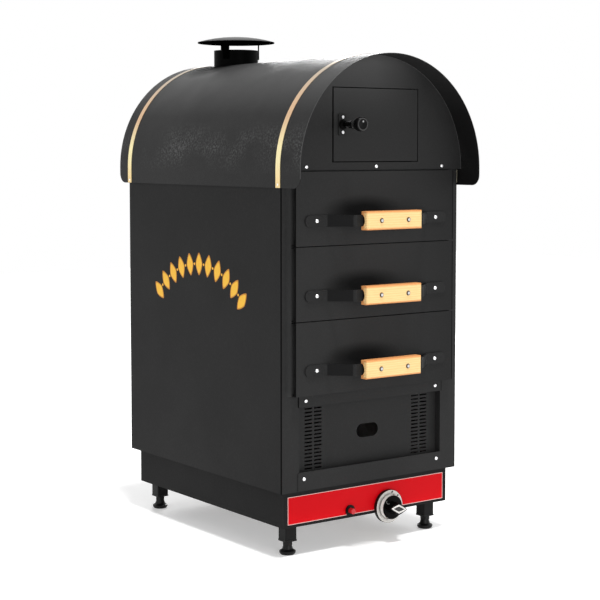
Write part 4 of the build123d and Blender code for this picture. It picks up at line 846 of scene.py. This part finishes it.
class OVEN_OT_casing(Operator):
    """Black powder coat of the cabinet, frame, panels, drawer fronts and plinth"""

    bl_idname = "oven.casing"
    bl_label = "Casing"

    def execute(self, context):
        base = colours().coat
        grain = sizes().panel_grain

        def panel(name, *names, shade=1.0, rough=0.55, **zones):
            finish = coat(name, scaled(base, shade), grain, 0.00022, rough, **zones)
            dress(finish, *names)

        def beyond(axis, low, high):
            return lambda n: n.outside(axis, low, high)

        panel("panel_coat", "back_panel")
        panel("door_coat", "door_panel", bright=arch_light)
        panel("plinth_coat", "plinth", shade=0.8, rough=0.6, gloss=0.05)
        panel("arch_coat", "arch_plate", bright=arch_rim)
        panel("cover_coat", "lower_cover_strip")
        seam = beyond(1, SIDE[0][1] + sizes().seam, 10.0)
        panel("side_coat", "side_panel_left", "side_panel_right", rough=0.6, gloss=0.07, dark=seam)
        edge = FRAME_BOX[1][0] - FRAME_FOLD
        panel("frame_coat", "front_frame", dark=beyond(0, -edge, edge), bright=post_painted_light)
        for number in DRAWERS:
            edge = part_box(f"drawer_{number}_front")[1][0] - FRONT_FOLD
            z = middle(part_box(f"drawer_{number}_grip"))[2] + SHADOW_UP
            panel(f"front_coat_{number}", f"drawer_{number}_front", dark=self.drawer_painted_shade(edge, z))
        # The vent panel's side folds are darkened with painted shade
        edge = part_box("vent_panel")[1][0] - VENT_FOLD
        panel("vent_coat", "vent_panel", dark=beyond(0, -edge, edge))
        return {"FINISHED"}

    def drawer_painted_shade(self, edge, z):
        """Painted shade on a drawer front: its dark folds, its darker right side, and a painted
        shadow above its handle.
        """
        scale = (1 / SHADOW_HALF[0], 0, 1 / SHADOW_HALF[1])

        def dark(n):
            place = n.place(scale=scale, move=(-SHADOW_X * scale[0], 0, -z * scale[2]))
            shadow_or_stain = n.remap(n.reach(place), 0.3, 1.0, 0.85, 0.0)
            away = n.remap(n.axis(0), 0.02, edge, 0.0, 0.3)
            return n.larger(n.larger(shadow_or_stain, away), n.outside(0, -edge, edge))

        return dark


class OVEN_OT_roof(Operator):
    """Grained coat of the roof and flue, and the brass strips"""

    bl_idname = "oven.roof"
    bl_label = "Roof and flue"

    def execute(self, context):
        tint = colours()
        grain = sizes().roof_grain
        roof = coat("roof_coat", tint.roof, grain, depth=0.0004, rough=0.46, gloss=0.14,
                    dark=hood_painted_shade, bright=roof_bright)
        flue = coat("flue_coat", tint.flue, grain / 2, depth=0.0002, rough=0.45, gloss=0.02)
        cowl = coat("cowl_coat", tint.flue, grain / 2, depth=0.0002, rough=0.6, gloss=0.0,
                    bright=cowl_crown, sheen_or_rivet=COWL_TOP_HIGHLIGHT)
        dress(roof, "barrel_roof")
        dress(flue, "flue_collar")
        dress(cowl, "flue_cowl", "cowl_straps")
        dress(brass_painted_reflection("brass_strip"), "roof_trim_strips")
        return {"FINISHED"}


class OVEN_OT_drawers(Operator):
    """Wooden grips, their straps, and the drawers' trays"""

    bl_idname = "oven.drawers"
    bl_label = "Drawers"

    def execute(self, context):
        tint = colours()
        low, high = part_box("drawer_1_strap")
        tray = heated_steel("tray_steel", tint.steel, 0.3)
        strap = strap_coat("strap_coat", tint.black, tint.coat, low[1] + STRAP_BEND,
                           high[1] - STRAP_FOOT)
        for number in DRAWERS:
            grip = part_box(f"drawer_{number}_grip")
            dress(oiled_wood(f"grip_wood_{number}", 0.31 * number, grip), f"drawer_{number}_grip")
            dress(strap, f"drawer_{number}_strap")
            dress(tray, f"drawer_{number}_tray")
        return {"FINISHED"}


class OVEN_OT_rivets(Operator):
    """Bright rivets and screws, with the pit in each strap rivet"""

    bl_idname = "oven.rivets"
    bl_label = "Rivets and screws"

    def execute(self, context):
        base = colours().zinc
        zinc = metal("bright_zinc", base, 0.24, 1500.0, shadow_or_stain=0.12)
        dress(zinc, "casing_screws", "latch_cam", "tap_spindle", "spring_washer")
        dress(moulding("pivot_black", colours().black, 0.5, gloss=0.1), "door_pivots")
        pit = moulding("pit_dark", (0.05, 0.05, 0.052), 0.5)
        for number in DRAWERS:
            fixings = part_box(f"drawer_{number}_fixings")
            z = middle(fixings)[2]
            dress(bolt_zinc(f"bolt_zinc_{number}", base, z), f"drawer_{number}_fixings")
            side = fixings[1][0] - RIVET_R
            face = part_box(f"drawer_{number}_strap")[1][1] - RIVET_FACE
            spots = [(-side, face, z), (side, face, z)]
            self.pits(f"drawer_{number}_pits", spots, pit, f"drawer_{number}")
        return {"FINISHED"}

    def pits(self, name, spots, material, body):
        """Small round dishes facing forwards: radius r and angle t over each spot."""
        turn = full_turn(16)
        reach = np.array([0.0, 0.6, 1.0])[:, None]
        x = PIT_R * reach * np.cos(turn)
        z = PIT_R * reach * np.sin(turn)
        y = -0.00008 * (1 - reach**2) + 0 * turn
        dish = np.stack([x, y, z], axis=-1)
        points = np.asarray(spots, float)[:, None, None, :] + dish[None]
        surface(name, points, material, body)


class OVEN_OT_fascia(Operator):
    """Red fascia, spun ring with its marks, knob with its rim and ribs, and igniter"""

    bl_idname = "oven.fascia"
    bl_label = "Fascia and knob"

    def execute(self, context):
        tint = colours()
        silver = scaled(tint.silver, 0.85)
        dark = scaled(tint.black, 0.4)
        dress(enamel("fascia_red", tint.red, tint.stripe, sizes().pinstripe), "fascia_plate")
        dress(spun_ring("ring_steel", silver), "knob_bezel")
        dress(moulding("igniter_black", tint.black, 0.34, gloss=0.1), "igniter_body")
        dress(moulding("button_red", tint.button, 0.22), "igniter_button")
        dress(mottled_black("knob_coat", dark, tint.silver), "gas_knob")
        black = mottled_black("knob_black", dark)
        self.skirt(black)
        self.cap(black)
        self.rim(metal("rim_silver", silver, 0.35, 1200.0, shine=0.2, shadow_or_stain=0.1))
        self.ribs(moulding("rib_black", tint.black, 0.35))
        self.skirt_hook(moulding("mark_pale", (0.3, 0.3, 0.29), 0.4))
        self.ring_marks(moulding("mark_dark", (0.02, 0.02, 0.02), 0.4))
        return {"FINISHED"}

    def face(self):
        """Centre of the knob's front face."""
        x, _, z = middle(KNOB)
        return x, KNOB[0][1], z

    def skirt(self, material):
        """The knob's round skirt: a profile turned about the knob's axis.

        A point at distance out and angle t is -out * sin t across, out * cos t up, and its
        rise forwards of the plate.
        """
        x, y, z = self.face()
        radius = (KNOB[1][0] - KNOB[0][0]) / 2 + SKIRT_OVER
        bend = np.radians(np.linspace(0, 90, 6))
        out = np.concatenate([[0, radius], radius - SKIRT_ROUND * (1 - np.cos(bend)), [0]])
        back = SKIRT_RISE - SKIRT_THICK
        rise = SKIRT_RISE - SKIRT_ROUND * (1 - np.sin(bend))
        rise = np.concatenate([[back, back], rise, [SKIRT_RISE]])
        turn = full_turn(48)
        px = x - out[:, None] * np.sin(turn)
        py = y + SKIRT_BACK - rise[:, None] + 0 * turn
        pz = z + out[:, None] * np.cos(turn)
        points = np.stack([px, py, pz], axis=-1)[None]
        surface("knob_skirt", points, material, "tap_knob")

    def on_grip(self, name, px, pz, depth, material, slot):
        """A sheet on the grip's face over px and pz, leaned: z falls by GRIP_LEAN * px."""
        x, y, z = self.face()
        points = [x + px, y + depth + 0 * px, z + pz - GRIP_LEAN * px]
        surface(name, np.stack(points, axis=-1)[None], material, "tap_knob")

    def cap(self, material):
        """The grip's face: a lozenge times reach, from its middle out, round its edge and back."""
        u, v = lozenge_outline(96, 1.08)
        reach = np.array([0.0, 0.97, 1.0, 1.0, 0.0])[:, None]
        depth = np.array([-0.0001, -0.0001, 0.0004, 0.0045, 0.0045])[:, None]
        px = CAP_HALF[0] * u * reach
        pz = CAP_HALF[1] * v * reach
        self.on_grip("knob_cap", px, pz, depth, material, "black_handle")

    def rim(self, material):
        """The bright lozenge frame: a band whose height is RIM_RISE * (1 - across^4)."""
        u, v = lozenge_outline(96, 1.12)
        across = np.linspace(-1, 1, 9)[:, None]
        share = (across + 1) / 2
        px = u * (RIM_INNER[0] + (RIM_OUTER[0] - RIM_INNER[0]) * share)
        pz = v * (RIM_INNER[1] + (RIM_OUTER[1] - RIM_INNER[1]) * share)
        depth = -0.00012 - RIM_RISE * (1 - across**4)
        self.on_grip("knob_rim", px, pz, depth, material, "bezel_silver")

    def ribs(self, material):
        """The inset: a lozenge whose height waves along its length, with ribs across it."""
        u, v = lozenge_outline(96, 1.12)
        reach = np.linspace(0, 1, 14)[:, None]
        px = RIM_INNER[0] * u * reach
        pz = RIM_INNER[1] * v * reach
        fade = 1 - reach**6
        wave = 0.5 + 0.5 * np.cos(px * 2 * np.pi / RIB_PITCH)
        depth = -0.00015 - 0.0004 * fade * wave - 0.0001 * fade
        self.on_grip("knob_ribs", px, pz, depth, material, "black_handle")

    def skirt_hook(self, material):
        """A small pale hook on the skirt: a thin band on part of a small circle."""
        x, y, z = self.face()
        turn = np.radians(np.linspace(165, 295, 24))
        across = np.array([-1.0, -0.6, 0.6, 1.0])[:, None]
        radius = HOOK_R + 0.0005 * across
        px = x + HOOK[0] + radius * np.cos(turn)
        pz = z + HOOK[1] + radius * np.sin(turn)
        py = y + SKIRT_BACK - SKIRT_RISE - 0.00012 * (1 - across**4) + 0 * turn
        points = np.stack([px, py, pz], axis=-1)[None]
        surface("skirt_hook", points, material, "tap_knob", closed=False)

    def ring_marks(self, material):
        """Two dots on the ring's slope, each a dish of radius and angle over its place."""
        x, _, z = middle(BEZEL)
        places = np.radians([76.0, 42.0])[:, None, None]
        widths = np.array([0.0026, 0.0021])[:, None, None]
        turn = full_turn(20)
        reach = np.array([0.0, 0.5, 0.9, 1.0])[:, None]
        px = x + RING_R * np.cos(places) + widths * reach * np.cos(turn)
        pz = z + RING_R * np.sin(places) + widths * reach * np.sin(turn)
        out = np.hypot(px - x, pz - z)
        fall = (RING_EDGE - out) * RING_FALL / RING_WIDTH
        py = BEZEL[0][1] + fall - 0.00015 * (1 - reach**4)
        points = np.stack([px, py, pz], axis=-1)
        surface("ring_marks", points, material, "cabinet")


class OVEN_OT_marks(Operator):
    """A row of painted gold lozenges and dots on an arc on both sides of the cabinet"""

    bl_idname = "oven.marks"
    bl_label = "Side marks"

    def execute(self, context):
        tint = colours()
        paint = mark_paint("side_gold", tint.gold, tint.gold_edge)
        self.row("side_marks_left", -1, paint)
        self.row("side_marks_right", 1, paint)
        return {"FINISHED"}

    def row(self, name, side, material):
        """Lozenges and dots in turn: each is an outline scaled by reach, turned by its place."""
        size = sizes()
        count = 2 * size.lozenge_count - 1
        lean = np.linspace(-size.arc_half, size.arc_half, count)[:, None, None]
        big = (np.arange(count) % 2 == 0)[:, None, None]
        reach = np.linspace(0, 1, 9)[:, None]
        u, v = lozenge_outline(32, 1.32)
        dot = size.lozenge_wide * 0.24
        along = np.where(big, size.lozenge_wide, dot) / 2 * u * reach
        up = size.arc_radius + np.where(big, size.lozenge_tall, dot) / 2 * v * reach
        y = size.arc_forward + up * np.sin(lean) + along * np.cos(lean)
        z = size.arc_middle + up * np.cos(lean) - along * np.sin(lean)
        x = side * (size.mark_thick * (1 - reach**8) - SIDE[0][0]) + 0 * y
        points = np.stack([x, y, z], axis=-1)
        surface(name, points, material, "cabinet", reach=reach)


class OVEN_OT_latch(Operator):
    """The door's latch: its turned black handle and coated plate"""

    bl_idname = "oven.latch"
    bl_label = "Door latch"

    def execute(self, context):
        tint = colours()
        x, _, z = middle(LATCH)
        dress(lacquer("handle_black", tint.black, x, z), "latch_handle")

        def rivets(n):
            up = n.minus(n.unsigned(n.minus(n.axis(2), z)), LATCH_RIVET_UP)
            return n.below(n.hypot(n.minus(n.axis(0), x), up), LATCH_RIVET_R)

        # The boss is black; the fade round it onto the plate is painted shade
        def boss(n):
            return n.remap(n.from_line(x, z), 0.0095, 0.0125, 1.0, 0.0)

        plate = coat("latch_coat", scaled(tint.coat, 0.75), grain=0.0014, depth=0.0002,
                     rough=0.5, dark=boss, bright=rivets, sheen_or_rivet=tint.zinc)
        dress(plate, "latch_plate")
        return {"FINISHED"}


class OVEN_OT_inside(Operator):
    """Oven steel, burner, gas fittings, pipes, electrode and insulation"""

    bl_idname = "oven.inside"
    bl_label = "Inside and gas train"

    def execute(self, context):
        tint = colours()
        dress(heated_steel("liner_steel", tint.steel, 0.34), "oven_liner_left", "oven_liner_right",
              "oven_liner_rear", "oven_ceiling", "cabinet_floor", "heat_baffle", "drawer_runners")
        dress(heated_steel("burner_steel", (0.3, 0.29, 0.28), 0.45), "burner")
        dress(metal("turned_brass", tint.fitting, 0.25, 1500.0), "gas_tap", "gas_inlet")
        dress(metal("drawn_tube", (0.6, 0.42, 0.3), 0.32, 1200.0), "gas_pipes")
        dress(moulding("white_ceramic", (0.75, 0.73, 0.68), 0.25), "spark_electrode")
        dress(fibre("mineral_fibre", (0.45, 0.42, 0.32)), "insulation")
        return {"FINISHED"}


class OVEN_OT_legs(Operator):
    """Coated legs, their caps and the levelling feet"""

    bl_idname = "oven.legs"
    bl_label = "Legs and feet"

    def execute(self, context):
        legs = coat("leg_coat", colours().legs, grain=0.0016, depth=0.0002, rough=0.5)
        dress(legs, "leg_tubes")
        feet = [name for name in NODES if name.startswith("foot_")]
        dress(moulding("foot_black", colours().black, 0.3, gloss=0.16), "leg_caps", *feet)
        return {"FINISHED"}


STEPS = (
    OVEN_OT_stage,
    OVEN_OT_casing,
    OVEN_OT_roof,
    OVEN_OT_drawers,
    OVEN_OT_rivets,
    OVEN_OT_fascia,
    OVEN_OT_marks,
    OVEN_OT_latch,
    OVEN_OT_inside,
    OVEN_OT_legs,
)


class OVEN_PT_panel(Panel):
    """Lists the oven's steps and settings"""

    bl_idname = "OVEN_PT_panel"
    bl_label = "Potato oven"
    bl_space_type = "VIEW_3D"
    bl_region_type = "UI"
    bl_category = "Oven"

    def draw(self, context):
        for step in STEPS:
            self.layout.operator(step.bl_idname)
        for settings in (context.scene.oven_sizes, context.scene.oven_colours):
            column = self.layout.column(align=True)
            for name in settings.__annotations__:
                column.prop(settings, name)


CLASSES = (OvenSizes, OvenColours, *STEPS, OVEN_PT_panel)


def register():
    for item in CLASSES:
        bpy.utils.register_class(item)
    bpy.types.Scene.oven_sizes = PointerProperty(type=OvenSizes)
    bpy.types.Scene.oven_colours = PointerProperty(type=OvenColours)


def unregister():
    del bpy.types.Scene.oven_colours
    del bpy.types.Scene.oven_sizes
    for item in reversed(CLASSES):
        bpy.utils.unregister_class(item)


def main():
    """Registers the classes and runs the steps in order."""
    register()
    for step in STEPS:
        group, name = step.bl_idname.split(".")
        getattr(getattr(bpy.ops, group), name)()


if __name__ == "__main__":
    main()
